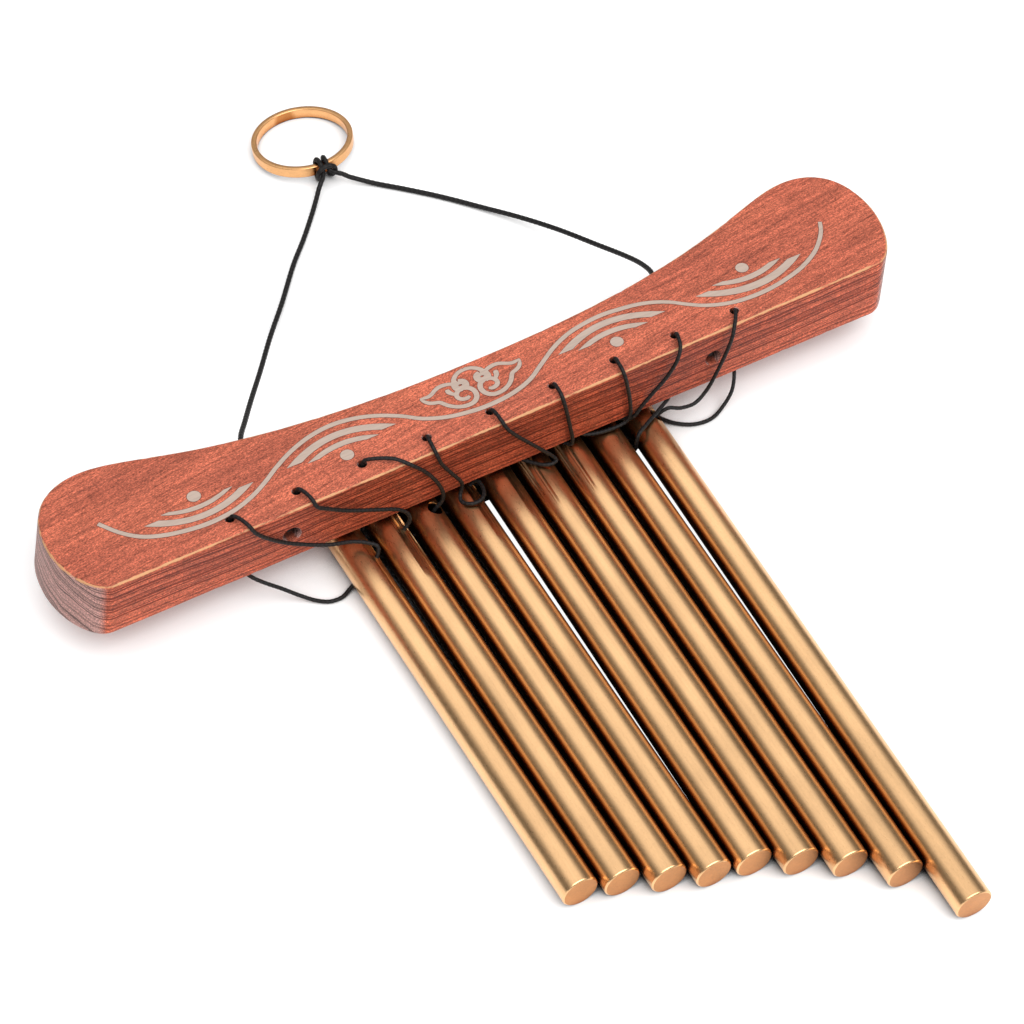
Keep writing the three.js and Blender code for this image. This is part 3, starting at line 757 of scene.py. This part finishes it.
def stop_knot_line(side):
    """Barrel of turns round the leg in its counterbore."""
    points = []
    turns, pitch, radius, middle = 2.25, 1.62 * MM, 1.7 * MM, 4.6 * MM
    for k in range(int(TURN_PIECES * turns) + 1):
        turn = k / TURN_PIECES
        angle = 2 * math.pi * turn
        points.append((side * HANGER_HOLE_X + radius * math.cos(angle),
                       middle + (turn - turns / 2) * pitch, BAR_MIDDLE + radius * math.sin(angle)))
    return in_frame(points)


def on_ring(point, ring, cords):
    """A place given from the ring's far end, tipped up on the cord under the knot."""
    lift = cords.hanger + 0.7 * MM
    tip = math.asin(lift / ring.diameter)
    x, y, z = point
    return Vector((RING_X + x, RING_REACH + EDGE_Y + y * math.cos(tip) + z * math.sin(tip),
                   -y * math.sin(tip) + z * math.cos(tip)))


def ring_knot_line(ring, cords):
    """Lark's head: two wraps of the band, a bight over their tops, and the two tails."""
    v = ring.wall / 2 + KNOT_AIR + cords.hanger / 2
    w = ring.height / 2 + KNOT_AIR + cords.hanger / 2
    m = MM
    wraps = [
        (1.0 * m, -v - 0.2 * m, w - 0.9 * m), (1.0 * m, -v / 2, w), (1.1 * m, v / 2, w),
        (1.3 * m, v, w - 1.1 * m), (1.6 * m, v, 1.1 * m - w), (1.9 * m, v / 2, -w),
        (2.3 * m, -v / 2, -w), (2.75 * m, -v - 0.5 * m, 1.2 * m - w),
        (3.0 * m, -v - 1.3 * m, 0.2 * m),
        (2.6 * m, -v - 1.7 * m, 1.7 * m), (1.5 * m, -v - 1.75 * m, 2.6 * m),
    ]
    left_tail = in_mm([(-3.2, -5.8, -0.7), (-1.9, -4.5, -0.1), (-1.1, -3.2, 0.7)])
    right_tail = in_mm([(1.2, -3.2, 0.7), (2.5, -4.3, -0.1), (4.3, -5.6, -0.7)])
    route = [*left_tail, *[(-a, b, c) for a, b, c in wraps], (0, -v - 1.75 * m, 2.85 * m),
             *reversed(wraps), *right_tail]
    near, middle = ring.wall / 2 - ring.diameter, ring.height / 2
    first, last = in_frame([LEFT_LEG[-1], RIGHT_LEG[-1]])
    knot = [on_ring((a, b + near, c + middle), ring, cords) for a, b, c in route]
    return smooth_route([first, *knot, last])


class MakeCords(bpy.types.Operator):
    """Make the nine slings, the hanger's two legs, the stop knots and the knot on the ring"""

    bl_idname = "hand_chime.make_cords"
    bl_label = "Cords"

    def execute(self, context):
        scene = context.scene
        s, rods, bar, ring = scene.chime_cords, scene.chime_rods, scene.chime_bar, scene.chime_ring
        tree, dyed = braided_cord_tree(), cord_material(s)
        for i in range(ROD_COUNT):
            line = sling_line(i, rods, bar)
            sling = sweep_cord(f"sling_{i + 1}", line, s.sling, tree, dyed, s, f"rod_cord_{i + 1}")
            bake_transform(sling)
            self.declare(sling, line, s.sling, "object")
        line = ring_knot_line(ring, s)
        knot = sweep_cord("knot_on_ring", line, s.hanger, tree, dyed, s, "ring_knot")
        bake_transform(knot)
        for side, name, free in ((-1, "left", LEFT_LEG), (1, "right", RIGHT_LEG)):
            line = leg_line(side, free)
            leg = sweep_cord(f"hanger_leg_{name}", line, s.hanger, tree, dyed, s,
                             f"hanger_cord_{name}")
            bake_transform(leg)
            self.declare(leg, line, s.hanger, "knot" if name == "left" else "object",
                         [knot] if name == "left" else [])
            stop = sweep_cord(f"stop_knot_{name}_cord", stop_knot_line(side), s.hanger - 0.3 * MM,
                              tree, dyed, s, f"stop_knot_{name}")
            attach(stop, "bar")
        return {"FINISHED"}

    @staticmethod
    def declare(obj, line, diameter, far_end, pieces=()):
        """Does nothing with the cord; its real length is that of its line."""


# Bar

HALF_LENGTH, END_WIDEST_Y, CORNER_X = 0.130, 0.022, 0.1185
SHOULDER_X, SHOULDER_WIDTH, WAIST_WIDTH = 0.113, 0.043, 0.0254
EDGE_PIECES = 160  # along the straight edge
ARRIS_ROWS, SIDE_ROWS = 6, 7
FACE_INSETS = (0.0012, 0.003)  # of the rows on the flat faces, inside the arris
FLARE = 0.0022  # radius of a sling hole's mouth in the underside
DRILL_SIDES = 40


def bezier(a, b, c, d, count):
    """Points of a cubic curve, without its last point."""
    points = []
    for k in range(count):
        t = k / count
        u = 1 - t
        weights = (u**3, 3 * u * u * t, 3 * u * t * t, t**3)
        points.append(tuple(sum(w * p[axis] for w, p in zip(weights, (a, b, c, d)))
                            for axis in (0, 1)))
    return points


def bar_outline():
    """Outline of the bar from above, counterclockwise, from the left end of its straight edge."""
    h, e, c, s, w = HALF_LENGTH, END_WIDEST_Y, CORNER_X, SHOULDER_X, SHOULDER_WIDTH
    right = bezier((c, 0), (c + 0.0055, 0), (h, e / 2), (h, e), 18)
    right += bezier((h, e), (h, e + 0.013), (s + 0.011, w), (s, w), 22)
    right += bezier((s, w), (s - 0.017, w), (s - 0.033, WAIST_WIDTH), (0, WAIST_WIDTH), 80)
    left = [(-x, y) for x, y in reversed(right)]
    straight = [(-c + 2 * c * k / EDGE_PIECES, 0.0) for k in range(1, EDGE_PIECES)]
    return np.array(straight + right + [(0, WAIST_WIDTH)] + left, float)


def leaned(outline, share):
    """The outline at a share of the bar's height, because its ends aren't cut quite square."""
    x, y = outline.T
    side = x / SHOULDER_X
    slant = np.where(x < 0, 0.0004 + 0.0016 * y / SHOULDER_WIDTH, 0.0014)
    return np.stack([x + share * (0.0027 - 0.0062 * x), y + share * side * slant], 1)


def inwards(outline, distance):
    """The outline moved inwards, each point along its own normal."""
    ahead, behind = np.roll(outline, -1, 0), np.roll(outline, 1, 0)
    along = (ahead - behind) / np.linalg.norm(ahead - behind, axis=1)[:, None]
    normal = np.stack([-along[:, 1], along[:, 0]], 1)
    return outline + normal * np.reshape(distance, (-1, 1))


def distance_to(outline, points):
    """Distance of each point to the outline."""
    best = np.full(len(points), 1.0)
    for a, b in zip(outline, np.roll(outline, -1, 0)):
        d = b - a
        t = np.clip((points - a) @ d / (d @ d), 0, 1)
        best = np.minimum(best, np.linalg.norm(points - a - t[:, None] * d, axis=1))
    return best


def bar_body(s):
    """Closed body of the bar, with rounded and slightly uneven arrises."""
    outline = bar_outline()

    def wear(seed):
        """Radius of the arris round the bar, with small chips in it."""
        radii = []
        for x, y in outline:
            soft = noise.noise(Vector((x * 70, y * 70, seed)))
            chip = noise.noise(Vector((x * 420, y * 420, seed + 5)))
            radii.append(s.arris * (1 + 0.22 * soft + 0.9 * max(0.0, chip - 0.28)))
        return np.array(radii)

    top, bottom = wear(1.0), wear(9.0)
    lower, upper = leaned(outline, 0), leaned(outline, 1)
    bend = [math.pi / 2 * k / (ARRIS_ROWS - 1) for k in range(ARRIS_ROWS)]
    loops = [(inwards(lower, bottom + inset), BAR_BOTTOM) for inset in reversed(FACE_INSETS)]
    loops += [(inwards(lower, bottom * (1 - math.cos(angle))),
               BAR_BOTTOM + bottom * (1 - math.sin(angle))) for angle in reversed(bend)]
    side_height = BAR_TOP - top - BAR_BOTTOM - bottom
    loops += [(leaned(outline, k / SIDE_ROWS), BAR_BOTTOM + bottom + side_height * k / SIDE_ROWS)
              for k in range(1, SIDE_ROWS)]
    loops += [(inwards(upper, top * (1 - math.cos(angle))), BAR_TOP - top * (1 - math.sin(angle)))
              for angle in bend]
    loops += [(inwards(upper, top + inset), BAR_TOP) for inset in FACE_INSETS]
    rows = [[(x, y + EDGE_Y, z) for (x, y), z in zip(places, np.broadcast_to(height, len(outline)))]
            for places, height in loops]
    return new_shells("chime_bar", [rows])


def drill(profile, place):
    """Rows of points of a turned shape. The profile is radius and height from pole to pole."""
    return [[place @ Vector((radius * math.cos(angle), radius * math.sin(angle), height))
             for angle in full_turn(DRILL_SIDES)] for radius, height in profile]


def bar_drills(s):
    """Shapes of all the holes: the slings' holes with their worn mouths, and the hanger's holes."""
    hole, wide, narrow = s.hole / 2, s.counterbore / 2, s.hanger_hole / 2
    sling_hole = [
        (FLARE + 0.0005, BAR_BOTTOM - 0.0005), (FLARE, BAR_BOTTOM), (hole, BAR_BOTTOM + 0.0012),
        (hole, BAR_TOP - 0.0004), (hole + 0.00012, BAR_TOP - 0.00012),
        (hole + 0.0005, BAR_TOP + 0.0003),
    ]
    hanger_hole = [
        (wide + 0.0012, -0.001), (wide + 0.0001, 0.0001), (wide, 0.0006), (wide, COUNTERBORE_DEPTH),
        (narrow, COUNTERBORE_DEPTH), (narrow, 0.045),
    ]
    shells = [drill(sling_hole, Matrix.Translation((sling_hole_x(i), EDGE_Y + s.hole_edge, 0)))
              for i in range(ROD_COUNT)]
    across = Matrix.Rotation(-math.pi / 2, 4, "X")
    for side in (-1, 1):
        entry = Matrix.Translation((side * HANGER_HOLE_X, EDGE_Y, BAR_MIDDLE))
        shells.append(drill(hanger_hole, entry @ across))
    return new_shells("drills", shells)


class MakeBar(bpy.types.Operator):
    """Make the wooden bar with its rounded edges and drilled holes"""

    bl_idname = "hand_chime.make_bar"
    bl_label = "Wooden bar"

    def execute(self, context):
        s = context.scene.chime_bar
        bar, drills = bar_body(s), bar_drills(s)
        cut = bar.modifiers.new("Holes", "BOOLEAN")
        cut.object, cut.solver, cut.operation = drills, "EXACT", "DIFFERENCE"
        keep_plain(bar)
        bpy.data.objects.remove(drills)
        self.mark_wear(bar, s)
        shade(bar, 35)
        bar.data.materials.clear()
        bar.data.materials.append(wood_material(s))
        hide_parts("wood_bar")
        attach(bar, "bar")
        return {"FINISHED"}

    @staticmethod
    def mark_wear(bar, s):
        """Store how rubbed each place is: most on the arrises, and more on the upper ones."""
        co = np.array([v.co for v in bar.data.vertices], float)
        lower = bar_outline() + [0, EDGE_Y]
        upper = leaned(bar_outline(), 1) + [0, EDGE_Y]
        above = np.hypot(distance_to(upper, co[:, :2]), BAR_TOP - co[:, 2])
        below = np.hypot(distance_to(lower, co[:, :2]), co[:, 2] - BAR_BOTTOM)
        width = s.arris
        worn = np.clip(2 - 2 * above / width, 0, 1) + 0.6 * np.clip(2 - 2 * below / width, 0, 1)
        attribute = bar.data.attributes.new("worn", "FLOAT", "POINT")
        attribute.data.foreach_set("value", np.clip(worn, 0, 1).astype(np.float32))


# Ornament printed on the bar's top face

WAVE = in_mm([
    (-111.2, 21.3), (-107.2, 15.6), (-103, 11.7), (-98.1, 9.3), (-91.8, 7.7), (-85.1, 7),
    (-78, 7.7), (-71.4, 10), (-66.2, 13), (-62, 15.9), (-55.8, 19.4), (-49, 21.8), (-42.3, 22.6),
    (-35.8, 21.7), (-29.9, 19.5), (-24.1, 16), (-19.7, 12.5), (-13.6, 9.7), (-7, 8.3), (-1.3, 7.9),
    (6, 8.6), (12.5, 10.7), (18.1, 14.3), (24.6, 18.5), (30.7, 21.1), (36.6, 22.3), (42, 22.7),
    (47.5, 22.2), (52.5, 21.4), (57.2, 19.8), (61.3, 17.5), (64.8, 14.6), (68.9, 11.7), (73.6, 9.6),
    (78.4, 8.4), (84, 8), (89.5, 8.3), (95.4, 9.4), (101.3, 11.2), (107.2, 14.4), (110.7, 17.4),
    (113.6, 20.9), (115.4, 24.3),
])
# Each crescent is cut off straight: left tip, left and right inner corner, right tip, the height of
# the cut, and how far its outer and inner edge bow away from it
CRESCENTS = in_mm([
    (-100.8, -96.7, -73.5, -69.2, 14.4, -5.2, -3.2), (-95.6, -93.2, -77.3, -74.8, 15.8, -3, -1.5),
    (-59.5, -54.9, -31.1, -26.8, 14.3, 5.5, 3.3), (-53.8, -50.2, -36.1, -32.5, 13.1, 2.9, 1.1),
    (24, 28.6, 53.7, 58.2, 15.1, 5.5, 3.3), (29.5, 33.4, 47.9, 51.9, 13.8, 3, 1.2),
    (68.6, 72.9, 99, 103.6, 15.9, -5.7, -3.2), (74.9, 78.3, 93.7, 97.5, 17.3, -3.2, -1.3),
])
DOTS = in_mm([(-85.2, 17.6), (-43.2, 10.7), (40.6, 11.5), (86, 19.3)])
DOT_RADIUS, DOT_SIDES = 0.0019, 48
CRESCENT_PIECES = 32
PLATE_STEP = 4e-7
INK_LAYER, HALO_LAYER = (0.00003, 0.00006), (0.00001, 0.00002)  # lower and upper side over the bar
HALO_WIDTH = 0.00013
MOTIF_X = -0.0016
# Right half of the middle ornament as pen strokes: points of a line, in mm from its middle and from
# the bar's lower edge, with the pen's half width at each
STROKES = [
    [(0, 23.2, 0.62), (1.5, 23.0, 0.62), (2.8, 22.35, 0.64), (3.8, 21.45, 0.68), (4.4, 20.4, 0.74),
     (4.5, 19.4, 0.7)],
    [(4.8, 19.6, 0.6), (5.9, 20.2, 0.62), (7.4, 20.6, 0.65), (9.0, 20.6, 0.65), (10.4, 20.1, 0.62),
     (11.7, 19.3, 0.6), (13.0, 18.85, 0.6), (14.4, 18.95, 0.5), (15.5, 19.25, 0.16)],
    [(15.5, 19.0, 0.16), (14.9, 17.9, 0.5), (14.1, 16.8, 0.6), (12.8, 16.0, 0.62),
     (11.4, 15.5, 0.62), (10.7, 14.7, 0.65), (10.0, 13.6, 0.65), (9.1, 12.6, 0.65),
     (7.9, 11.7, 0.65), (6.4, 11.0, 0.68), (4.7, 10.7, 0.7), (3.1, 10.9, 0.72), (1.8, 11.8, 0.74),
     (1.05, 13.2, 0.76), (1.0, 14.8, 0.76), (1.7, 16.2, 0.74), (3.0, 16.95, 0.7), (4.5, 16.9, 0.68),
     (5.7, 16.1, 0.68), (6.15, 14.95, 0.68), (5.8, 13.9, 0.68), (4.8, 13.25, 0.68),
     (3.7, 13.2, 0.64), (2.95, 13.6, 0.42)],
    [(6.2, 15.9, 0.5), (6.9, 16.7, 0.64), (7.35, 17.5, 0.72), (7.45, 18.2, 0.7), (7.4, 18.7, 0.4)],
    [(3.4, 19.8, 1.0), (2.2, 19.3, 1.0), (1.9, 18.4, 1.0), (2.2, 17.5, 1.0), (3.4, 17.0, 1.0)],
    [(3.4, 19.8, 1.0), (4.6, 19.3, 1.0), (4.9, 18.4, 1.0), (4.6, 17.5, 1.0), (3.4, 17.0, 1.0)],
]


def flat_line(points):
    return [(p.x, p.y) for p in smooth_route([Vector((x, y, 0)) for x, y in points], 8)]


def ribbon(points, half_widths):
    """Outline of a flat ribbon along a line."""
    line = np.array(points, float)
    along = np.gradient(line, axis=0)
    along /= np.linalg.norm(along, axis=1)[:, None]
    side = np.stack([-along[:, 1], along[:, 0]], 1) * np.reshape(half_widths, (-1, 1))
    return [tuple(p) for p in line + side] + [tuple(p) for p in (line - side)[::-1]]


def crescent(left, inner_left, inner_right, right, cut, far, near):
    """Outline of a crescent whose ends are cut off along one line."""
    edge = []
    for start, end, bow in ((left, right, far), (inner_right, inner_left, near)):
        for k in range(CRESCENT_PIECES + 1):
            t = k / CRESCENT_PIECES
            edge.append((start + (end - start) * t, cut + 4 * bow * t * (1 - t)))
    return edge


def grown(outline, distance):
    """An outline made wider all round."""
    points = np.array(outline, float)
    x, y = points.T
    area = np.sum(x * np.roll(y, -1) - y * np.roll(x, -1))
    return [tuple(p) for p in inwards(points, -distance if area > 0 else distance)]


def stroke_outlines():
    outlines = []
    for stroke in STROKES:
        line = smooth_route([Vector((x, y, w)) * MM for x, y, w in stroke], 10)
        for mirror in (1, -1):
            places = [(MOTIF_X + mirror * p.x, p.y) for p in line]
            outlines.append(ribbon(places, [p.z for p in line]))
    return outlines


def print_outlines(s):
    wave = np.array(flat_line(WAVE))
    step = np.gradient(wave, axis=0)
    steepness = np.abs(step[:, 1]) / np.linalg.norm(step, axis=1)
    outlines = [ribbon(wave, s.print_width / 2 * (1 - 0.25 * steepness))]
    outlines += [crescent(*c) for c in CRESCENTS]
    outlines += [[(x + DOT_RADIUS * math.cos(angle), y + DOT_RADIUS * math.sin(angle))
                  for angle in full_turn(DOT_SIDES)] for x, y in DOTS]
    return outlines + stroke_outlines()


def flat_plates(name, outlines, low, high):
    """Thin closed plates with the given outlines, each a step above the last where they cross."""
    shells = []
    for k, outline in enumerate(outlines):
        levels = [BAR_TOP + height + k * PLATE_STEP for height in (low, high)]
        shells.append([[(x, y + EDGE_Y, level) for x, y in outline] for level in levels])
    return new_shells(name, shells)


class MakePrint(bpy.types.Operator):
    """Make the printed wave, crescents, dots and middle ornament"""

    bl_idname = "hand_chime.make_print"
    bl_label = "Print"

    def execute(self, context):
        s = context.scene.chime_bar
        outlines = print_outlines(s)
        ink = flat_plates("bar_print", outlines, *INK_LAYER)
        halo = flat_plates("bar_print_edge", [grown(o, HALO_WIDTH) for o in outlines], *HALO_LAYER)
        for obj, material in ((ink, print_material(s)), (halo, print_edge_material(s))):
            obj.data.materials.append(material)
            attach(obj, "bar")
        return {"FINISHED"}


# Rods

CROSS_HOLE_SIDES = 48


def chime_rod_tree():
    """Geometry nodes for one rod: chamfered ends, a countersunk cross hole, and its place."""
    t = GeometryTree("Chime rod", [
        ("Length", "Float"), ("Diameter", "Float"), ("Chamfer", "Float"), ("Sides", "Int"),
        ("Cross hole", "Float"), ("Countersink", "Float"), ("Hole from top", "Float"),
        ("Roll", "Float"), ("Turn", "Float"), ("Place", "Vector"), ("Material", "Material"),
    ])
    given = t.given
    half, radius = t.times(given["Length"], 0.5), t.times(given["Diameter"], 0.5)
    chamfer, sink = given["Chamfer"], given["Countersink"]

    def spool(sides, reach, rows):
        """A closed cylinder along Z whose end rows have given distances from the end, and radii."""
        pieces = 2 * len(rows) - 1
        tube = t.add("GeometryNodeMeshCylinder", {
            "Vertices": sides, "Side Segments": pieces, "Radius": 1.0, "Depth": 2.0,
        }).outputs[0]
        x, y, z = t.axes(t.add("GeometryNodeInputPosition").outputs[0])
        row = t.maths("ROUND", t.times(t.minus(1.0, t.absolute(z)), pieces / 2))
        from_end, width = rows[-1]
        for k in range(len(rows) - 2, -1, -1):
            here = t.maths("LESS_THAN", row, k + 0.5)
            elsewhere = t.minus(1.0, here)
            from_end = t.scaled(here, rows[k][0], t.times(elsewhere, from_end))
            width = t.scaled(here, rows[k][1], t.times(elsewhere, width))
        height = t.times(t.maths("SIGN", z), t.minus(reach, from_end))
        moved = t.vector(t.times(x, width), t.times(y, width), height)
        return t.add("GeometryNodeSetPosition", {"Geometry": tube, "Position": moved}).outputs[0]

    # The chamfers are slightly round, and the rod's middle lies at its cross hole
    rod = spool(given["Sides"], half, [
        (0.0, t.minus(radius, chamfer)),
        (t.times(chamfer, 0.18), t.scaled(chamfer, -0.65, radius)),
        (t.times(chamfer, 0.65), t.scaled(chamfer, -0.18, radius)),
        (chamfer, radius),
        (t.times(half, 0.5), radius),
    ])
    rod = t.moved(rod, t.vector(z=t.minus(given["Hole from top"], half)))
    rod = t.moved(rod, turn=(-math.pi / 2, 0, 0))

    bore = t.times(given["Cross hole"], 0.5)
    drill = spool(CROSS_HOLE_SIDES, t.plus(radius, t.times(sink, 3.0)), [
        (0.0, t.scaled(sink, 4.0, bore)),
        (t.times(sink, 3.6), t.scaled(sink, 0.4, bore)),
        (t.times(sink, 4.6), bore),
    ])
    drill = t.moved(drill, turn=t.vector(y=given["Roll"]))
    cut = t.add("GeometryNodeMeshBoolean", {"Mesh 1": rod, "Mesh 2": drill}, operation="DIFFERENCE")

    # The walls of the hole are marked, so that the metal is dark there
    axes = t.axes(t.add("GeometryNodeInputPosition").outputs[0])
    from_axis = t.add("ShaderNodeVectorMath", {0: t.vector(axes[0], 0.0, axes[2])},
                      operation="LENGTH").outputs["Value"]
    near_hole = t.maths("LESS_THAN", t.absolute(axes[1]), given["Diameter"])
    under_skin = t.maths("LESS_THAN", from_axis, t.minus(radius, t.times(sink, 0.5)))
    marked = t.keep_attribute(cut.outputs[0], "bore", t.times(near_hole, under_skin), "FACE")
    return t.close(t.moved(marked, given["Place"], t.vector(z=given["Turn"])))


class MakeRods(bpy.types.Operator):
    """Make the nine rods in their row"""

    bl_idname = "hand_chime.make_rods"
    bl_label = "Rods"

    def execute(self, context):
        s = context.scene.chime_rods
        tree = chime_rod_tree()
        polished = metal_material("Polished rod", s.metal, s.roughness, (1400, 12, 1400), 0.0000015)
        for i in range(ROD_COUNT):
            rod = new_object(f"chime_rod_{i + 1}")
            hole, _ = rod_place(i, s)
            turn, shift = rod_turn(i), ROD_HOLE_SHIFT[i]
            hole += Vector((math.sin(turn), -math.cos(turn), 0)) * shift
            run_tree(rod, tree, {
                "Length": s.shortest + i * s.step, "Diameter": s.diameter, "Chamfer": s.chamfer,
                "Sides": s.sides, "Cross hole": s.cross_hole, "Countersink": s.countersink,
                "Hole from top": s.hole_from_top + shift, "Roll": math.radians(ROD_ROLL[i]),
                "Turn": turn, "Place": tuple(in_frame([hole])[0]), "Material": polished,
            })
            shade(rod, 25)
            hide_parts(f"rod_{i + 1}")
            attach(rod, f"rod_{i + 1}")
        return {"FINISHED"}


# Ring

RING_SIDES, RING_CORNER_PIECES = 240, 6


class MakeRing(bpy.types.Operator):
    """Make the flat-band ring, tipped up on the cord of its knot"""

    bl_idname = "hand_chime.make_ring"
    bl_label = "Ring"

    def execute(self, context):
        s, cords = context.scene.chime_ring, context.scene.chime_cords
        outer, inner, r = s.diameter / 2, s.diameter / 2 - s.wall, s.rounding
        corners = [(outer - r, r, -90), (outer - r, s.height - r, 0),
                   (inner + r, s.height - r, 90), (inner + r, r, 180)]
        section = []
        for radius, height, start in corners:
            for k in range(RING_CORNER_PIECES + 1):
                angle = math.radians(start + 90 / RING_CORNER_PIECES * k)
                section.append((radius + r * math.cos(angle), height + r * math.sin(angle)))
        vertices, faces, count = [], [], len(section)
        for angle in full_turn(RING_SIDES):
            for radius, height in section:
                point = (radius * math.cos(angle), radius * math.sin(angle) - outer, height)
                vertices.append(on_ring(point, s, cords))
        whole = RING_SIDES * count
        for row in range(0, whole, count):
            for k in range(count):
                a, b = row + k, row + (k + 1) % count
                faces.append((a, b, (b + count) % whole, (a + count) % whole))
        ring = new_object("ring_band", vertices, (), faces)
        face_outwards(ring)
        shade(ring, 40)
        satin = metal_material("Satin ring", s.metal, s.roughness, (500, 500, 1800), 0.000005)
        ring.data.materials.append(satin)
        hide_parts("hanging_ring")
        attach(ring, "ring")
        return {"FINISHED"}


# Stage


def softbox(name, place, width, height, power):
    """A rectangular lamp that faces the origin."""
    lamp = bpy.data.lights.new(name, "AREA")
    lamp.shape, lamp.size, lamp.size_y, lamp.energy = "RECTANGLE", width, height, power
    obj = bpy.data.objects.new(name, lamp)
    obj.location = place
    obj.rotation_euler = (-Vector(place)).to_track_quat("-Z", "Y").to_euler()
    bpy.context.scene.collection.objects.link(obj)


# Gaps, counted from 0, in which the camera sees the white table, with their ends in y; there the
# table gets painted white light over its painted shade. It looks in askew, so the place that it
# sees lies beside the gap.
OPEN_GAPS = [(3, 0.0, -0.128), (7, -0.004, -0.155)]
GAP_SHIFT = 0.0018


def floor_material(s):
    """Plain table top that glows a little for the camera and mirrors, with painted shade near the
    pieces and in gaps, and painted white stripes in two open gaps.
    """
    t = new_finish("Table top")
    open_sky = t.openness(s.shade_reach, 16)
    axes = t.axes(t.place())
    painted_light_stripes = 0.0
    for i, near, far in OPEN_GAPS:
        slope = (gap_x(i, 0.0) - gap_x(i, -0.1)) / 0.1
        middle = t.scaled(axes["Y"], slope, gap_x(i, 0.0) + GAP_SHIFT - slope * EDGE_Y)
        stripe = t.maths("LESS_THAN", t.absolute(t.minus(axes["X"], middle)), GAP_SHIFT * 0.8)
        begun = t.maths("LESS_THAN", axes["Y"], near)
        span = t.times(begun, t.maths("GREATER_THAN", axes["Y"], far))
        painted_light_stripes = t.maths("MAXIMUM", painted_light_stripes, t.times(stripe, span))
    rays = t.add("ShaderNodeLightPath").outputs
    seen = t.plus(rays["Is Camera Ray"], t.plus(rays["Is Glossy Ray"], rays["Is Transmission Ray"]))
    # Painted shade: the glow fades out close to the pieces
    glow = t.times(t.ramp(open_sky, (0.30, 0.0), (0.75, 1.0)), s.glow)
    # Painted light: the stripes glow white for the camera in the two open gaps
    glow = t.maths("MAXIMUM", glow, t.times(painted_light_stripes, rays["Is Camera Ray"]))
    return t.close({
        # Painted shade: the table's colour darkens near the pieces and nearly to black in narrow
        # gaps
        "Base Color": t.tinted(s.floor, t.ramp(open_sky, (0.14, 0.01), (0.30, 1.0))),
        "Roughness": 0.9, "Specular IOR Level": 0.0, "Emission Color": (1, 1, 1, 1),
        "Emission Strength": t.times(t.maths("MINIMUM", seen, 1.0), glow),
    })


def studio_world():
    """Sky of the studio: white for the camera, and for the pieces bright above and dim low down."""
    world = bpy.data.worlds.new("Studio")
    bpy.context.scene.world = world
    t = Finish(world, "Background")
    up = t.axes(t.place("Generated"))["Z"]
    sky = t.ramp(up, (0.0, 0.40), (0.12, 0.16), (0.42, 0.14), (0.60, 0.38), (0.75, 1.02),
                 (1.0, 1.02))
    seen = t.add("ShaderNodeLightPath").outputs["Is Camera Ray"]
    t.close({"Color": t.mixed(seen, sky, 1.0), "Strength": 1.0})


# The camera's place, with y from the bar's lower edge, and the ways to its right, up and ahead
CAMERA_PLACE = (-0.1948, -0.4071, 0.5300)
CAMERA_WAYS = [(0.88372, -0.46682, -0.03333), (0.37691, 0.66770, 0.64196),
               (0.27743, 0.57988, -0.76601)]
SENSOR_WIDTH = 36.0
TABLE_HALF = 4.0


class SetStage(bpy.types.Operator):
    """Set the camera, the floor and the lamps"""

    bl_idname = "hand_chime.set_stage"
    bl_label = "Stage"

    def execute(self, context):
        scene, s = context.scene, context.scene.chime_stage
        lens = bpy.data.cameras.new("Camera")
        lens.lens, lens.sensor_width = s.lens, SENSOR_WIDTH
        camera = bpy.data.objects.new("Camera", lens)
        right, up, ahead = (Vector(way) for way in CAMERA_WAYS)
        turned = Matrix((right, up, -ahead)).transposed().to_4x4()
        camera.matrix_world = Matrix.Translation(in_frame([CAMERA_PLACE])[0]) @ turned
        scene.collection.objects.link(camera)
        scene.camera = camera
        scene.view_settings.view_transform = "Standard"
        studio_world()
        corners = [(x * TABLE_HALF, y * TABLE_HALF, 0)
                   for x, y in ((-1, -1), (1, -1), (1, 1), (-1, 1))]
        floor = new_object("table_top", corners, (), [(0, 1, 2, 3)])
        floor.data.materials.append(floor_material(s))
        softbox("Back softbox", (0.05, 0.80, 0.95), 1.4, 0.7, s.key)
        softbox("Front softbox", (0.12, -1.0, 1.2), 1.8, 1.2, s.fill)
        return {"FINISHED"}


class ChimePanel(bpy.types.Panel):
    """Sizes, colours and makers of the hand chime"""

    bl_idname = "VIEW3D_PT_hand_chime"
    bl_label = "Hand chime"
    bl_space_type = "VIEW_3D"
    bl_region_type = "UI"
    bl_category = "Hand chime"

    def draw(self, context):
        column = self.layout.column()
        for operator in OPERATORS:
            column.operator(operator.bl_idname)
        for pointer, group in SETTINGS.items():
            column.separator()
            column.label(text=group.__doc__)
            for name in group.__annotations__:
                column.prop(getattr(context.scene, pointer), name)


SETTINGS = {
    "chime_bar": BarSettings, "chime_rods": RodSettings, "chime_cords": CordSettings,
    "chime_ring": RingSettings, "chime_stage": StageSettings,
}
OPERATORS = [SetStage, MakeCords, MakeBar, MakePrint, MakeRods, MakeRing]
CLASSES = [*SETTINGS.values(), *OPERATORS, ChimePanel]


def register():
    for cls in CLASSES:
        bpy.utils.register_class(cls)
    for pointer, group in SETTINGS.items():
        setattr(bpy.types.Scene, pointer, PointerProperty(type=group))


def unregister():
    for pointer in SETTINGS:
        delattr(bpy.types.Scene, pointer)
    for cls in reversed(CLASSES):
        bpy.utils.unregister_class(cls)


def main():
    register()
    bpy.ops.hand_chime.set_stage()
    bpy.ops.hand_chime.make_cords()
    bpy.ops.hand_chime.make_bar()
    bpy.ops.hand_chime.make_print()
    bpy.ops.hand_chime.make_rods()
    bpy.ops.hand_chime.make_ring()


if __name__ == "__main__":
    main()
